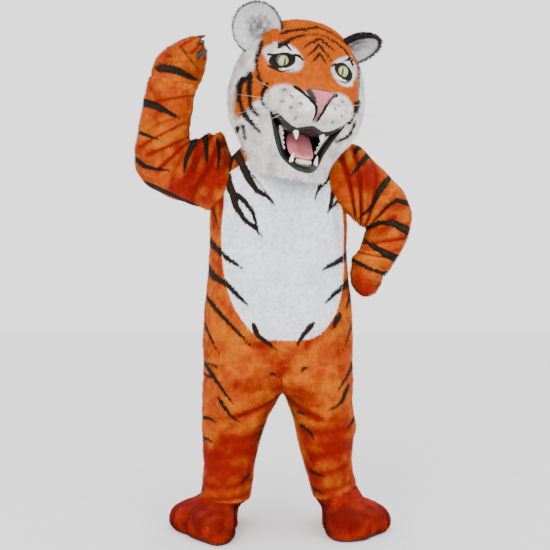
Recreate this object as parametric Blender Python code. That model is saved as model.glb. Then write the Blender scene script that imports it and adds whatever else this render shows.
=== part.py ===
"""A plush tiger costume as it is worn: head, one-piece suit, paw gloves and paw boots, hollow inside.

Metres, +Z up. It faces -Y, and +X is the viewer's right, the wearer's left. Heights in the tables are
above the floor, and LIFT takes them to the origin, at the wearer's shoulders.
"""

import math

import bmesh
import bpy
import numpy as np
from mathutils import Matrix, Vector
from mathutils.bvhtree import BVHTree

SHOULDER_HEIGHT = 1.40
LIFT = np.array((0.0, 0.0, -SHOULDER_HEIGHT))
SEAM = 0.0003
PLUSH = 0.003
HEAD_WALL = 0.009
EAR_WALL = 0.008
BOOT_WALL = 0.005
SOLE = 0.008
LINING = 0.003
TORSO_TURN = math.radians(8)
ROUNDING = 2.4
RIGHT, LEFT = -1, 1
SIDE_NAMES = {RIGHT: "right", LEFT: "left"}


def table(columns, rows):
    """Named columns of a table of sections, each as one array."""
    return {name: np.array(values, float) for name, values in zip(columns.split(), zip(*rows))}


# Suit body: half width, and depth before and behind the middle, at each height.
TORSO = table("height half_width front back", (
    (0.620, 0.268, 0.185, 0.180),
    (0.700, 0.270, 0.197, 0.178),
    (0.800, 0.264, 0.203, 0.168),
    (0.900, 0.254, 0.200, 0.160),
    (1.000, 0.246, 0.192, 0.155),
    (1.100, 0.244, 0.180, 0.155),
    (1.200, 0.236, 0.166, 0.152),
    (1.270, 0.219, 0.152, 0.146),
    (1.310, 0.198, 0.138, 0.138),
    (1.340, 0.174, 0.125, 0.128),
    (1.370, 0.146, 0.112, 0.116),
    (1.400, 0.116, 0.098, 0.100),
))

# Seams of the suit body, from the hip to the neck: heights at the side seam, at the centre back and at
# the edge of the belly panel, with the panel's half width there.
BODY_SEAMS = table("side_height back_height edge_height edge_width", (
    (0.620, 0.620, 0.6200, 0.000),
    (0.648, 0.650, 0.6600, 0.000),
    (0.678, 0.685, 0.7170, 0.000),
    (0.710, 0.720, 0.7170, 0.048),
    (0.748, 0.760, 0.7270, 0.096),
    (0.790, 0.800, 0.7600, 0.139),
    (0.840, 0.845, 0.8120, 0.172),
    (0.892, 0.895, 0.8760, 0.194),
    (0.948, 0.950, 0.9420, 0.205),
    (1.004, 1.005, 1.0080, 0.211),
    (1.062, 1.060, 1.0700, 0.212),
    (1.116, 1.115, 1.1280, 0.208),
    (1.170, 1.170, 1.1840, 0.206),
    (1.222, 1.225, 1.2330, 0.205),
    (1.268, 1.275, 1.2700, 0.196),
    (1.312, 1.322, 1.3000, 0.174),
    (1.355, 1.365, 1.3250, 0.138),
    (1.392, 1.398, 1.3480, 0.108),
))
BELLY_FIRST_ROW, BELLY_WIDEST_ROW = 3, 9
# The last row of the front panels: above it, inside the armhole, the back panels reach to the belly.
FRONT_LAST_ROW = 13
BELLY_COLUMNS = 8
FRONT_COLUMNS = 5
BACK_COLUMNS = 6

# Legs: how far the outer and inner lines stand from the middle, and the depth before and behind.
LEG_COLUMNS = "height outer inner front back rise"
LEGS = {
    RIGHT: table(LEG_COLUMNS, (
        (0.6197, 0.268, -0.268, 0.185, 0.180, 0.000),
        (0.575, 0.270, -0.130, 0.180, 0.172, 0.000),
        (0.535, 0.272, -0.060, 0.170, 0.160, 0.000),
        (0.498, 0.273, -0.015, 0.158, 0.150, 0.000),
        (0.455, 0.275, 0.012, 0.146, 0.142, 0.000),
        (0.405, 0.277, 0.038, 0.134, 0.134, 0.000),
        (0.323, 0.274, 0.066, 0.122, 0.124, 0.000),
        (0.240, 0.270, 0.086, 0.112, 0.116, 0.000),
        (0.170, 0.276, 0.094, 0.108, 0.112, 0.003),
        (0.112, 0.283, 0.104, 0.110, 0.110, 0.006),
    )),
    LEFT: table(LEG_COLUMNS, (
        (0.6197, 0.268, -0.268, 0.185, 0.180, 0.000),
        (0.575, 0.270, -0.110, 0.180, 0.172, 0.000),
        (0.535, 0.270, -0.030, 0.170, 0.160, 0.000),
        (0.498, 0.270, 0.016, 0.158, 0.150, 0.000),
        (0.440, 0.272, 0.044, 0.144, 0.142, 0.000),
        (0.380, 0.282, 0.062, 0.134, 0.134, 0.000),
        (0.310, 0.273, 0.076, 0.122, 0.124, 0.000),
        (0.240, 0.270, 0.096, 0.114, 0.116, 0.004),
        (0.185, 0.275, 0.114, 0.108, 0.112, 0.012),
        (0.135, 0.284, 0.132, 0.106, 0.108, 0.024),
    )),
}
LEG_TURNS = 16
LEG_ROWS = 16
CROTCH_X = 0.015

# Sleeves: the outer and the inner line of the arm seen from the front, and its depth.
SLEEVE_COLUMNS = "outer_x outer_z inner_x inner_z middle_y half_depth"
SLEEVES = {
    RIGHT: table(SLEEVE_COLUMNS, (
        (-0.192, 1.186, -0.138, 1.286, 0.000, 0.106),
        (-0.246, 1.158, -0.176, 1.370, -0.003, 0.122),
        (-0.285, 1.168, -0.194, 1.426, -0.006, 0.122),
        (-0.335, 1.185, -0.234, 1.432, -0.010, 0.114),
        (-0.400, 1.210, -0.278, 1.412, -0.016, 0.106),
        (-0.462, 1.245, -0.306, 1.408, -0.024, 0.102),
        (-0.500, 1.290, -0.313, 1.420, -0.032, 0.100),
        (-0.508, 1.350, -0.314, 1.442, -0.040, 0.098),
        (-0.498, 1.410, -0.311, 1.468, -0.046, 0.095),
        (-0.485, 1.475, -0.304, 1.510, -0.052, 0.091),
        (-0.475, 1.530, -0.296, 1.555, -0.058, 0.087),
        (-0.466, 1.574, -0.288, 1.574, -0.062, 0.084),
        (-0.449, 1.628, -0.281, 1.594, -0.066, 0.082),
    )),
    LEFT: table(SLEEVE_COLUMNS, (
        (0.138, 1.289, 0.192, 1.186, 0.000, 0.106),
        (0.194, 1.350, 0.245, 1.152, 0.002, 0.121),
        (0.238, 1.390, 0.272, 1.128, 0.006, 0.118),
        (0.285, 1.390, 0.290, 1.112, 0.010, 0.104),
        (0.345, 1.335, 0.303, 1.102, 0.018, 0.096),
        (0.405, 1.278, 0.312, 1.096, 0.028, 0.090),
        (0.452, 1.225, 0.318, 1.090, 0.036, 0.086),
        (0.480, 1.155, 0.318, 1.078, 0.036, 0.084),
        (0.476, 1.090, 0.310, 1.056, 0.026, 0.082),
        (0.455, 1.030, 0.298, 1.026, 0.012, 0.080),
        (0.427, 0.985, 0.286, 1.008, -0.002, 0.078),
        (0.402, 0.952, 0.272, 0.994, -0.014, 0.075),
        (0.382, 0.926, 0.264, 0.974, -0.024, 0.071),
    )),
}
SLEEVE_TURNS = 12
SLEEVE_ROWS = 21
ARMHOLE_RINGS = 6

# Creases: a soft trough from one place to another on a sleeve or leg, by row and share of a turn.
CREASE_COLUMNS = "from_row from_turn to_row to_turn depth width"
SLEEVE_GIRTH, SLEEVE_STEP = 0.60, 0.075
LEG_GIRTH, LEG_STEP = 0.70, 0.060
SLEEVE_CREASES = {
    RIGHT: table(CREASE_COLUMNS, (
        (1.6, 0.46, 2.6, 0.14, 0.018, 0.020),
        (2.7, 0.52, 3.4, 0.16, 0.016, 0.018),
        (4.0, 0.50, 2.6, 0.06, 0.013, 0.018),
        (4.9, 0.50, 5.2, 0.20, 0.014, 0.016),
        (5.8, 0.50, 6.6, 0.18, 0.012, 0.016),
        (7.3, 0.10, 8.0, 0.40, 0.010, 0.014),
        (9.8, 0.05, 10.3, 0.45, 0.009, 0.014),
        (5.2, 0.52, 5.0, 0.86, 0.013, 0.018),
        (3.2, 0.56, 2.8, 0.88, 0.013, 0.020),
    )),
    LEFT: table(CREASE_COLUMNS, (
        (1.5, 0.10, 2.2, 0.42, 0.016, 0.020),
        (2.6, 0.06, 3.4, 0.44, 0.016, 0.018),
        (4.2, 0.12, 4.8, 0.46, 0.015, 0.018),
        (5.8, 0.24, 5.6, 0.50, 0.015, 0.016),
        (6.8, 0.22, 6.4, 0.50, 0.013, 0.015),
        (8.4, 0.06, 8.6, 0.50, 0.011, 0.014),
        (9.9, 0.04, 10.0, 0.48, 0.010, 0.014),
        (5.6, 0.56, 5.2, 0.88, 0.013, 0.018),
        (3.0, 0.58, 2.6, 0.90, 0.013, 0.020),
    )),
}
LEG_CREASES = {
    RIGHT: table(CREASE_COLUMNS, (
        (3.0, 0.02, 4.4, 0.24, 0.012, 0.020),
        (5.6, 0.05, 5.9, 0.30, 0.010, 0.018),
        (6.7, 0.36, 6.2, 0.08, 0.010, 0.018),
        (7.8, 0.08, 8.2, 0.42, 0.009, 0.015),
        (8.5, 0.06, 8.9, 0.36, 0.009, 0.014),
        (6.1, 0.62, 6.5, 0.92, 0.012, 0.020),
        (7.9, 0.60, 8.1, 0.94, 0.010, 0.016),
    )),
    LEFT: table(CREASE_COLUMNS, (
        (3.0, 0.02, 4.2, 0.22, 0.012, 0.020),
        (5.2, 0.10, 5.0, 0.40, 0.010, 0.018),
        (6.5, 0.12, 6.0, 0.46, 0.013, 0.018),
        (7.5, 0.06, 7.1, 0.40, 0.010, 0.016),
        (8.5, 0.06, 8.4, 0.40, 0.009, 0.014),
        (6.1, 0.60, 6.4, 0.92, 0.012, 0.020),
        (7.9, 0.60, 8.1, 0.94, 0.010, 0.016),
    )),
}

# Paw gloves: as the sleeves, from the sleeve's hem to the curled finger tips.
GLOVES = {
    RIGHT: table(SLEEVE_COLUMNS, (
        (-0.442, 1.650, -0.272, 1.612, -0.068, 0.078),
        (-0.428, 1.686, -0.262, 1.640, -0.071, 0.080),
        (-0.402, 1.714, -0.254, 1.670, -0.075, 0.078),
        (-0.366, 1.736, -0.251, 1.697, -0.080, 0.073),
        (-0.330, 1.751, -0.255, 1.720, -0.086, 0.064),
        (-0.301, 1.760, -0.262, 1.738, -0.091, 0.048),
        (-0.279, 1.755, -0.273, 1.751, -0.094, 0.006),
    )),
    LEFT: table(SLEEVE_COLUMNS, (
        (0.374, 0.908, 0.262, 0.952, -0.027, 0.068),
        (0.364, 0.886, 0.262, 0.926, -0.028, 0.066),
        (0.350, 0.868, 0.266, 0.902, -0.026, 0.060),
        (0.332, 0.857, 0.276, 0.882, -0.022, 0.050),
        (0.314, 0.853, 0.289, 0.867, -0.018, 0.034),
        (0.303, 0.856, 0.299, 0.859, -0.014, 0.005),
    )),
}
GLOVE_ROWS, GLOVE_CUFF_ROWS = 9, 2
# Grooves between the fingers of a glove, by row and share of a turn.
GLOVE_CREASES = {
    RIGHT: table(CREASE_COLUMNS, (
        (2.6, 0.30, 5.8, 0.36, 0.009, 0.010),
        (2.9, 0.17, 5.8, 0.20, 0.008, 0.010),
        (2.4, 0.43, 5.8, 0.46, 0.008, 0.010),
        (2.2, 0.72, 5.8, 0.66, 0.008, 0.012),
    )),
    LEFT: table(CREASE_COLUMNS, (
        (2.0, 0.14, 4.8, 0.12, 0.008, 0.010),
        (2.0, 0.30, 4.8, 0.30, 0.008, 0.010),
        (2.0, 0.62, 4.8, 0.66, 0.008, 0.012),
    )),
}
GLOVE_GIRTH, GLOVE_STEP = 0.45, 0.040
# Claws: root, tip and radius.
CLAW_COLUMNS = "root_x root_y root_z tip_x tip_y tip_z radius"
CLAWS = {
    RIGHT: table(CLAW_COLUMNS, (
        (-0.300, -0.112, 1.733, -0.250, -0.150, 1.738, 0.012),
        (-0.282, -0.132, 1.690, -0.240, -0.162, 1.712, 0.012),
        (-0.306, -0.078, 1.745, -0.250, -0.072, 1.771, 0.012),
        (-0.306, -0.052, 1.735, -0.256, -0.024, 1.757, 0.012),
    )),
    LEFT: table(CLAW_COLUMNS, (
        (0.335, 0.004, 0.884, 0.340, 0.046, 0.862, 0.010),
        (0.316, 0.008, 0.880, 0.318, 0.050, 0.856, 0.010),
        (0.298, 0.004, 0.884, 0.297, 0.046, 0.866, 0.010),
        (0.352, -0.008, 0.895, 0.366, 0.032, 0.876, 0.010),
    )),
}

# Paw boots: how far the foot reaches from the ankle's middle, in 16 directions that go from the inner
# side round by the front. Each ring of the boot lies between the ankle and that outline.
BOOT_REACH = {
    RIGHT: (0.036, 0.044, 0.056, 0.082, 0.262, 0.228, 0.197, 0.201,
            0.199, 0.150, 0.124, 0.112, 0.098, 0.072, 0.048, 0.038),
    LEFT: (0.036, 0.044, 0.060, 0.092, 0.215, 0.228, 0.206, 0.211,
           0.186, 0.146, 0.122, 0.112, 0.098, 0.072, 0.048, 0.038),
}
BOOT_MIDDLES = {RIGHT: (-0.192, 0.004), LEFT: (0.207, 0.004)}
BOOT = table("height reach", (
    (0.0083, 0.96), (0.026, 1.02), (0.052, 0.99), (0.074, 0.85), (0.090, 0.57), (0.099, 0.30),
))
BOOT_SHAFT_ROWS = 3

# Head, in its own frame: half width, and depth before and behind, from the crown to the base.
HEAD_MIDDLE = Vector((0.068, -0.045, 1.575 - SHOULDER_HEIGHT))
HEAD_YAW, HEAD_ROLL = math.radians(15), math.radians(9)
HEAD = table("z half_width front back", (
    (0.245, 0.000, 0.000, 0.000),
    (0.238, 0.058, 0.050, 0.065),
    (0.215, 0.112, 0.098, 0.125),
    (0.170, 0.162, 0.146, 0.178),
    (0.110, 0.202, 0.180, 0.210),
    (0.040, 0.221, 0.196, 0.226),
    (-0.030, 0.228, 0.202, 0.223),
    (-0.090, 0.222, 0.202, 0.206),
    (-0.140, 0.203, 0.198, 0.182),
    (-0.185, 0.172, 0.190, 0.158),
    (-0.225, 0.150, 0.178, 0.142),
    (-0.262, 0.140, 0.168, 0.132),
    (-0.300, 0.134, 0.152, 0.128),
))
HEAD_COLUMNS, HEAD_ROWS, FRONT_CROWDING = 15, 22, 1.3
# Forms of the face, pushed forward from the head: middle, reach across and up, and height.
FACE_FORMS = table("x z wide tall rise", (
    (0.000, -0.058, 0.112, 0.060, 0.092),
    (0.070, -0.078, 0.056, 0.040, 0.036),
    (-0.070, -0.078, 0.056, 0.040, 0.036),
    (0.000, 0.005, 0.042, 0.070, 0.034),
    (0.088, 0.140, 0.052, 0.026, 0.016),
    (-0.088, 0.140, 0.052, 0.026, 0.016),
    (0.110, 0.090, 0.042, 0.028, -0.024),
    (-0.110, 0.090, 0.042, 0.028, -0.024),
    (0.000, -0.268, 0.078, 0.050, 0.094),
    (0.150, -0.010, 0.050, 0.050, 0.012),
    (-0.150, -0.010, 0.050, 0.050, 0.012),
))
# Cheek ruff of long fur: a ridge down each side of the head.
RUFF_ANGLE, RUFF_SPREAD, RUFF_RISE = math.radians(84), math.radians(24), 0.010
RUFF_Z, RUFF_TALL = -0.010, 0.140

# Mouth edge, one half seen from the front, from the lip's middle round the corner to the chin, with the
# share of its full width that the lip has there.
MOUTH_EDGE = table("x z lip", (
    (0.000, -0.112, 1.0), (0.024, -0.118, 1.0), (0.048, -0.124, 1.0), (0.078, -0.114, 0.8),
    (0.106, -0.096, 0.5), (0.128, -0.080, 0.2), (0.136, -0.084, 0.2), (0.131, -0.104, 0.45),
    (0.116, -0.136, 0.9), (0.100, -0.172, 1.0), (0.085, -0.205, 1.0), (0.066, -0.240, 1.0),
    (0.036, -0.266, 1.0), (0.000, -0.274, 1.0),
))
MOUTH_MIDDLE = (0.0, -0.165)
# Mouth lining, ring by ring: inset from the edge, scale, depth behind the face, nearness to the back.
MOUTH_RINGS = table("inset scale depth to_back", (
    (0.0020, 1.00, -0.001, 0.0), (0.005, 1.00, -0.009, 0.0), (0.015, 1.00, -0.005, 0.0),
    (0.022, 0.99, 0.012, 0.0), (0.024, 0.94, 0.045, 0.2), (0.024, 0.80, 0.050, 0.8),
    (0.024, 0.40, 0.050, 1.0), (0.024, 0.00, 0.050, 1.0),
))
LIP_RINGS = 3
MOUTH_BACK_Y = -0.070

# Ears: the middle of the dish in the head's frame, and how it is turned, leaned back and rolled.
EARS = {
    RIGHT: ((-0.182, -0.030, 0.190), math.radians(-28), math.radians(6), math.radians(-32)),
    LEFT: ((0.176, -0.030, 0.186), math.radians(30), math.radians(52), math.radians(26)),
}
EAR_RINGS = table("radius depth", (
    (0.000, 0.030), (0.030, 0.027), (0.056, 0.018), (0.076, 0.004), (0.087, -0.014),
))
EAR_TALL, EAR_TURNS = 1.06, 16

EYE_X, EYE_Z, EYE_RADIUS, EYE_SINK = 0.105, 0.087, 0.028, 0.012
NOSE_Z, NOSE_SIZE, NOSE_SINK = -0.026, (0.040, 0.030, 0.030), 0.008
TONGUE = table("y z half_width half_height", (
    (-0.216, -0.223, 0.000, 0.000), (-0.210, -0.223, 0.020, 0.008), (-0.194, -0.221, 0.036, 0.012),
    (-0.168, -0.211, 0.044, 0.014), (-0.140, -0.192, 0.046, 0.014), (-0.110, -0.167, 0.044, 0.013),
    (-0.092, -0.146, 0.032, 0.010), (-0.084, -0.134, 0.000, 0.000),
))
TONGUE_TURNS, TONGUE_GROOVE = 12, 0.006
# Fangs: root and tip in the head's frame, and radius.
FANGS = {
    "fang_upper_left": ((0.047, -0.214, -0.131), (0.045, -0.241, -0.169), 0.012),
    "fang_upper_right": ((-0.047, -0.214, -0.131), (-0.045, -0.241, -0.169), 0.012),
    "fang_lower_left": ((0.043, -0.213, -0.245), (0.041, -0.228, -0.210), 0.008),
    "fang_lower_right": ((-0.043, -0.213, -0.245), (-0.041, -0.228, -0.210), 0.008),
}
# Rows of lower teeth: from one place to another seen from the front, the way they point, how far they
# stand behind the face, and their count and length.
TEETH = {
    "teeth_front": ((-0.028, -0.240), (0.028, -0.240), (0, 1), 0.020, 6, 0.009),
    "teeth_left": ((0.060, -0.206), (0.084, -0.128), (-1, 0), 0.034, 5, 0.008),
    "teeth_right": ((-0.084, -0.128), (-0.060, -0.206), (1, 0), 0.034, 5, 0.008),
}
BAR_HALF_DEPTH, BAR_BEHIND = 0.004, 0.008

# Whiskers: where each leaves the muzzle, and where it ends, from the head's middle.
WHISKERS = table("root_x root_z tip_x tip_y tip_z", (
    (0.096, -0.038, 0.245, -0.300, 0.020),
    (0.104, -0.054, 0.290, -0.270, -0.040),
    (0.104, -0.072, 0.285, -0.280, -0.105),
    (0.098, -0.088, 0.250, -0.300, -0.165),
))
WHISKER_RADIUS, WHISKER_POINTS, WHISKER_BOW = 0.0008, 7, 0.016

FINISHES = {
    "orange_plush": ((0.78, 0.24, 0.03), 0.90),
    "red_plush": ((0.62, 0.09, 0.02), 0.90),
    "white_plush": ((0.84, 0.85, 0.86), 0.92),
    "sole": ((0.05, 0.03, 0.03), 0.80),
    "black_rubber": ((0.02, 0.02, 0.022), 0.45),
    "pink_rubber": ((0.72, 0.30, 0.32), 0.40),
    "tooth": ((0.86, 0.84, 0.74), 0.30),
    "eye": ((0.55, 0.60, 0.28), 0.15),
    "whisker": ((0.88, 0.88, 0.86), 0.40),
}


def fresh_scene():
    """Empties the scene and makes the costume's collection, one for cutters, and the materials."""
    for old in list(bpy.data.objects):
        bpy.data.objects.remove(old)
    collections = []
    for name in ("tiger_costume", "cutters"):
        collection = bpy.data.collections.new(name)
        bpy.context.scene.collection.children.link(collection)
        collections.append(collection)
    for name, (colour, roughness) in FINISHES.items():
        material = bpy.data.materials.new(name)
        material.use_nodes = True
        shader = material.node_tree.nodes["Principled BSDF"]
        shader.inputs["Base Color"].default_value = (*colour, 1.0)
        shader.inputs["Roughness"].default_value = roughness
        shader.inputs["Metallic"].default_value = 0.0
        material.diffuse_color = (*colour, 1.0)
    return collections


COSTUME, CUTTERS = fresh_scene()


def place_object(obj, finish):
    """Puts a piece among the costume's parts, or a cutter, which has no finish, among the cutters."""
    if finish is None:
        CUTTERS.objects.link(obj)
        obj.hide_render = True
        obj.display_type = "WIRE"
    else:
        COSTUME.objects.link(obj)
        obj.data.materials.append(bpy.data.materials[finish])
    return obj


def mesh_object(name, bm, finish, matrix=None):
    """Turns a bmesh into a smooth-shaded object with its faces pointing out."""
    bmesh.ops.remove_doubles(bm, verts=bm.verts, dist=1e-6)
    bmesh.ops.dissolve_degenerate(bm, dist=1e-7, edges=bm.edges)
    bmesh.ops.recalc_face_normals(bm, faces=bm.faces)
    if matrix is not None:
        bm.transform(matrix)
    mesh = bpy.data.meshes.new(name)
    bm.to_mesh(mesh)
    bm.free()
    mesh.shade_smooth()
    mesh.set_sharp_from_angle(angle=math.radians(50))
    return place_object(bpy.data.objects.new(name, mesh), finish)


def cut(obj, cutter, operation="DIFFERENCE"):
    """Cuts a piece by a solid, or joins them."""
    boolean = obj.modifiers.new("cut_by_" + cutter.name, "BOOLEAN")
    boolean.operation = operation
    boolean.object = cutter


def along(column, place):
    """A column's smooth value at a fractional row number, on a Catmull-Rom curve through the rows."""
    last = len(column) - 1
    place = np.clip(place, 0, last)
    row = np.minimum(place.astype(int), last - 1)
    t = place - row
    before, here, after, beyond = (column[np.clip(row + step, 0, last)] for step in (-1, 0, 1, 2))
    return 0.5 * (2 * here + (after - before) * t + (2 * before - 5 * here + 4 * after - beyond) * t**2
                  + (3 * here - before - 3 * after + beyond) * t**3)


def crease_depth(creases, place, turn, step, girth):
    """How deep the creases press a tube at a row and share of a turn."""
    depth = np.zeros(np.broadcast(place, turn).shape)
    for i in range(len(creases["depth"])):
        start = np.array((creases["from_row"][i] * step, creases["from_turn"][i] * girth))
        run = np.array((creases["to_row"][i] * step, creases["to_turn"][i] * girth)) - start
        near = np.full(depth.shape, 1.0)
        for whole_turn in (-1, 0, 1):
            away = np.stack((place * step - start[0], (turn + whole_turn) * girth - start[1]), -1)
            share = np.clip((away @ run) / (run @ run), 0, 1)
            near = np.minimum(near, np.linalg.norm(away - share[..., None] * run, axis=-1))
        depth += creases["depth"][i] * np.exp(-((near / creases["width"][i]) ** 2))
    return depth


def pressed(middle, reach, depth):
    """Points round a middle, drawn in towards it by a depth."""
    size = np.linalg.norm(reach, axis=-1, keepdims=True)
    return middle + reach * (1 - depth[..., None] / np.maximum(size, 1e-6))


def offset(surface, place, turn, distance):
    """Points of a surface moved along its normal: outwards, or inwards if the distance is negative."""
    points = surface(place, turn)
    step = 2e-3
    down = surface(place + step, turn) - surface(place - step, turn)
    across = surface(place, turn + step) - surface(place, turn - step)
    normal = np.cross(across, down)
    normal /= np.maximum(np.linalg.norm(normal, axis=-1, keepdims=True), 1e-12)
    return points + normal * distance


def add_band(bm, ring, next_ring, spans):
    """Faces between two rings, every one split the same way so that neighbouring pieces fit."""
    for j, k in spans:
        bm.faces.new((ring[j], ring[k], next_ring[k]))
        bm.faces.new((ring[j], next_ring[k], next_ring[j]))


def closed_wall(name, outer, inner, finish, tube, matrix=None):
    """A wall between two grids of points, rows by columns, with its rims closed.

    A first or last row that is one point is a pole: it has no rim.
    """
    rows, columns = outer.shape[:2]
    bm = bmesh.new()
    skins = [[[bm.verts.new(point) for point in row] for row in grid] for grid in (outer, inner)]
    spans = [(j, (j + 1) % columns) for j in range(columns if tube else columns - 1)]
    for i in range(rows - 1):
        for skin in skins:
            add_band(bm, skin[i], skin[i + 1], spans)
        if not tube:
            for j in (0, columns - 1):
                bm.faces.new((skins[0][i][j], skins[0][i + 1][j], skins[1][i + 1][j], skins[1][i][j]))
    for i in (0, rows - 1):
        if np.ptp(outer[i], axis=0).max() < 1e-6:
            continue
        for j, k in spans:
            bm.faces.new((skins[0][i][j], skins[0][i][k], skins[1][i][k], skins[1][i][j]))
    return mesh_object(name, bm, finish, matrix)


def solid_grid(name, points, finish, matrix=None):
    """A solid from rings of points, with its first and last ring closed flat."""
    rows, columns = points.shape[:2]
    bm = bmesh.new()
    grid = [[bm.verts.new(point) for point in row] for row in points]
    for i in range(rows - 1):
        add_band(bm, grid[i], grid[i + 1], [(j, (j + 1) % columns) for j in range(columns)])
    for ring in (grid[0], grid[-1]):
        if (ring[0].co - ring[columns // 2].co).length > 1e-6:
            bm.faces.new(ring)
    return mesh_object(name, bm, finish, matrix)


def level_rim(outer, inner):
    """The inner skin with its first row kept at the heights of the outer one, where a seam is level."""
    inner[0, :, 2] = outer[0, :, 2]
    return inner


def grid_of(places, turns):
    return np.meshgrid(np.asarray(places, float), np.asarray(turns, float), indexing="ij")


# Suit body. Four plush panels and the white belly, sewn along shared seams.


def torso_point(place, angle):
    """A point of the suit body at a fractional row of TORSO and an angle from the front, to the left."""
    half_width, front, back, height = (along(TORSO[column], place)
                                       for column in ("half_width", "front", "back", "height"))
    sine, cosine = np.sin(angle + TORSO_TURN), np.cos(angle + TORSO_TURN)
    fullness = (np.abs(sine) ** ROUNDING + np.abs(cosine) ** ROUNDING) ** (-1 / ROUNDING)
    depth = np.where(cosine > 0, front, back)
    return np.stack((half_width * sine * fullness, -depth * cosine * fullness, height), -1) + LIFT


def torso_place(height):
    return np.interp(height, TORSO["height"], np.arange(len(TORSO["height"]), dtype=float))


def belly_edge_angle():
    """The angle from the front to the belly panel's edge in each row of seams."""
    half_width = along(TORSO["half_width"], torso_place(BODY_SEAMS["edge_height"]))
    return np.arcsin(np.clip(BODY_SEAMS["edge_width"] / half_width, 0, 0.98)) * 0.97


def body_rows(side, part):
    """Places and angles of one part of the suit body's rows: belly, front or back, for one side."""
    edge = belly_edge_angle()
    gap = SEAM / 0.22
    edge_height, side_height = BODY_SEAMS["edge_height"], BODY_SEAMS["side_height"]
    if part == "belly":
        angle = np.linspace(-1, 1, BELLY_COLUMNS + 1) * (edge[:, None] - gap / 2)
        place = torso_place(edge_height)[:, None] + 0 * angle
        return place[BELLY_FIRST_ROW:], angle[BELLY_FIRST_ROW:]
    share = np.linspace(0, 1, (FRONT_COLUMNS if part == "front" else BACK_COLUMNS) + 1)
    if part == "front":
        start, end = edge + gap / 2, math.pi / 2 - gap / 2
        under_belly = (np.arange(len(edge)) > 0) & (np.arange(len(edge)) <= BELLY_WIDEST_ROW)
        low, high = edge_height - SEAM * 1.5 * under_belly, side_height
    else:
        start, end = np.full(len(edge), math.pi / 2 + gap / 2), math.pi - gap / 2
        low, high = side_height, BODY_SEAMS["back_height"]
    angle = start[:, None] + (end - start)[:, None] * share
    height = low[:, None] + (high - low)[:, None] * share
    return torso_place(height), angle * side


def body_panel(name, side, part, finish):
    place, angle = body_rows(side, part)
    if part == "front":
        place, angle = place[:FRONT_LAST_ROW + 1], angle[:FRONT_LAST_ROW + 1]
    elif part == "back":
        strap_place, strap_angle = body_rows(side, "front")
        closed = np.arange(len(place)) <= FRONT_LAST_ROW
        strap_place[closed], strap_angle[closed] = place[closed, :1], angle[closed, :1]
        place = np.concatenate((strap_place[:, :-1], place), axis=1)
        angle = np.concatenate((strap_angle[:, :-1], angle), axis=1)
    if part != "belly":
        place, angle = place[:, ::side], angle[:, ::side]
    outer = torso_point(place, angle)
    inner = level_rim(outer, offset(torso_point, place, angle, -PLUSH))
    return closed_wall(name, outer, inner, finish, tube=False)


def body_core(name, clearance):
    """The suit body as one filled solid, with the same facets as its panels: a cutter."""
    edge = belly_edge_angle()
    belly = np.linspace(0, 1, BELLY_COLUMNS // 2 + 1)[:-1]
    halves = []
    for side in (RIGHT, LEFT):
        place = [torso_place(BODY_SEAMS["edge_height"])[:, None] + 0 * belly]
        angle = [edge[:, None] * belly * side]
        for part in ("front", "back"):
            part_place, part_angle = body_rows(side, part)
            place.append(part_place[:, :-1])
            angle.append(part_angle[:, :-1])
        halves.append((np.concatenate(place, axis=1), np.concatenate(angle, axis=1)))
    back = torso_place(BODY_SEAMS["back_height"])[:, None]
    (right_place, right_angle), (left_place, left_angle) = halves
    place = np.concatenate((right_place[:, ::-1], left_place[:, 1:], back), axis=1)
    angle = np.concatenate((right_angle[:, ::-1], left_angle[:, 1:], 0 * back + math.pi), axis=1)
    return solid_grid(name, offset(torso_point, place, angle, clearance), None)


def build_suit_body():
    body_panel("belly_panel", LEFT, "belly", "white_plush")
    for side in (RIGHT, LEFT):
        body_panel(f"front_{SIDE_NAMES[side]}", side, "front", "orange_plush")
        body_panel(f"back_{SIDE_NAMES[side]}", side, "back", "orange_plush")
    build_zip_flap()


FLAP_HALF_WIDTH, FLAP_THICKNESS = 0.022, 0.002
FLAP_LOW, FLAP_HIGH = 0.66, 1.33


def build_zip_flap():
    """The plush flap over the centre back closing."""
    heights = BODY_SEAMS["back_height"]
    heights = heights[(heights > FLAP_LOW) & (heights < FLAP_HIGH)]
    share = np.array((-1.0, 0.0, 1.0)) * FLAP_HALF_WIDTH / 0.155
    place, angle = grid_of(torso_place(heights), math.pi + share)
    inner = offset(torso_point, place, angle, SEAM * 1.5)
    outer = offset(torso_point, place, angle, SEAM * 1.5 + FLAP_THICKNESS)
    closed_wall("zip_flap", outer, inner, "orange_plush", tube=False)


# Legs. Each is one plush tube, open at its inseam above the crotch, where it is sewn to the other.


def leg_surface(side):
    rows = LEGS[side]

    def point(place, turn):
        height, outer, inner, front, back, rise = (along(rows[c], place) for c in LEG_COLUMNS.split())
        middle, half = (outer + inner) / 2, (outer - inner) / 2
        first = np.arccos(np.clip((middle - side * CROTCH_X - SEAM / 2) / half, -1, 1 - 1e-6))
        angle = first + (2 * math.pi - 2 * first) * turn
        depth = np.where(np.sin(angle) > 0, front, back)
        power = ROUNDING - (ROUNDING - 2) * np.clip(place / 3, 0, 1)
        across = np.cos(angle)
        ahead = np.sign(np.sin(angle)) * (1 - np.abs(across) ** power) ** (1 / power)
        reach = np.stack((-side * half * across, -depth * ahead, -rise * across), -1)
        centre = np.stack((side * middle, 0 * middle, height), -1)
        inseam = np.clip(np.minimum(turn, 1 - turn) / 0.06, 0, 1)
        depth_in = crease_depth(LEG_CREASES[side], place, turn, LEG_STEP, LEG_GIRTH) * inseam
        return pressed(centre, reach, depth_in) + LIFT

    return point


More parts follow.
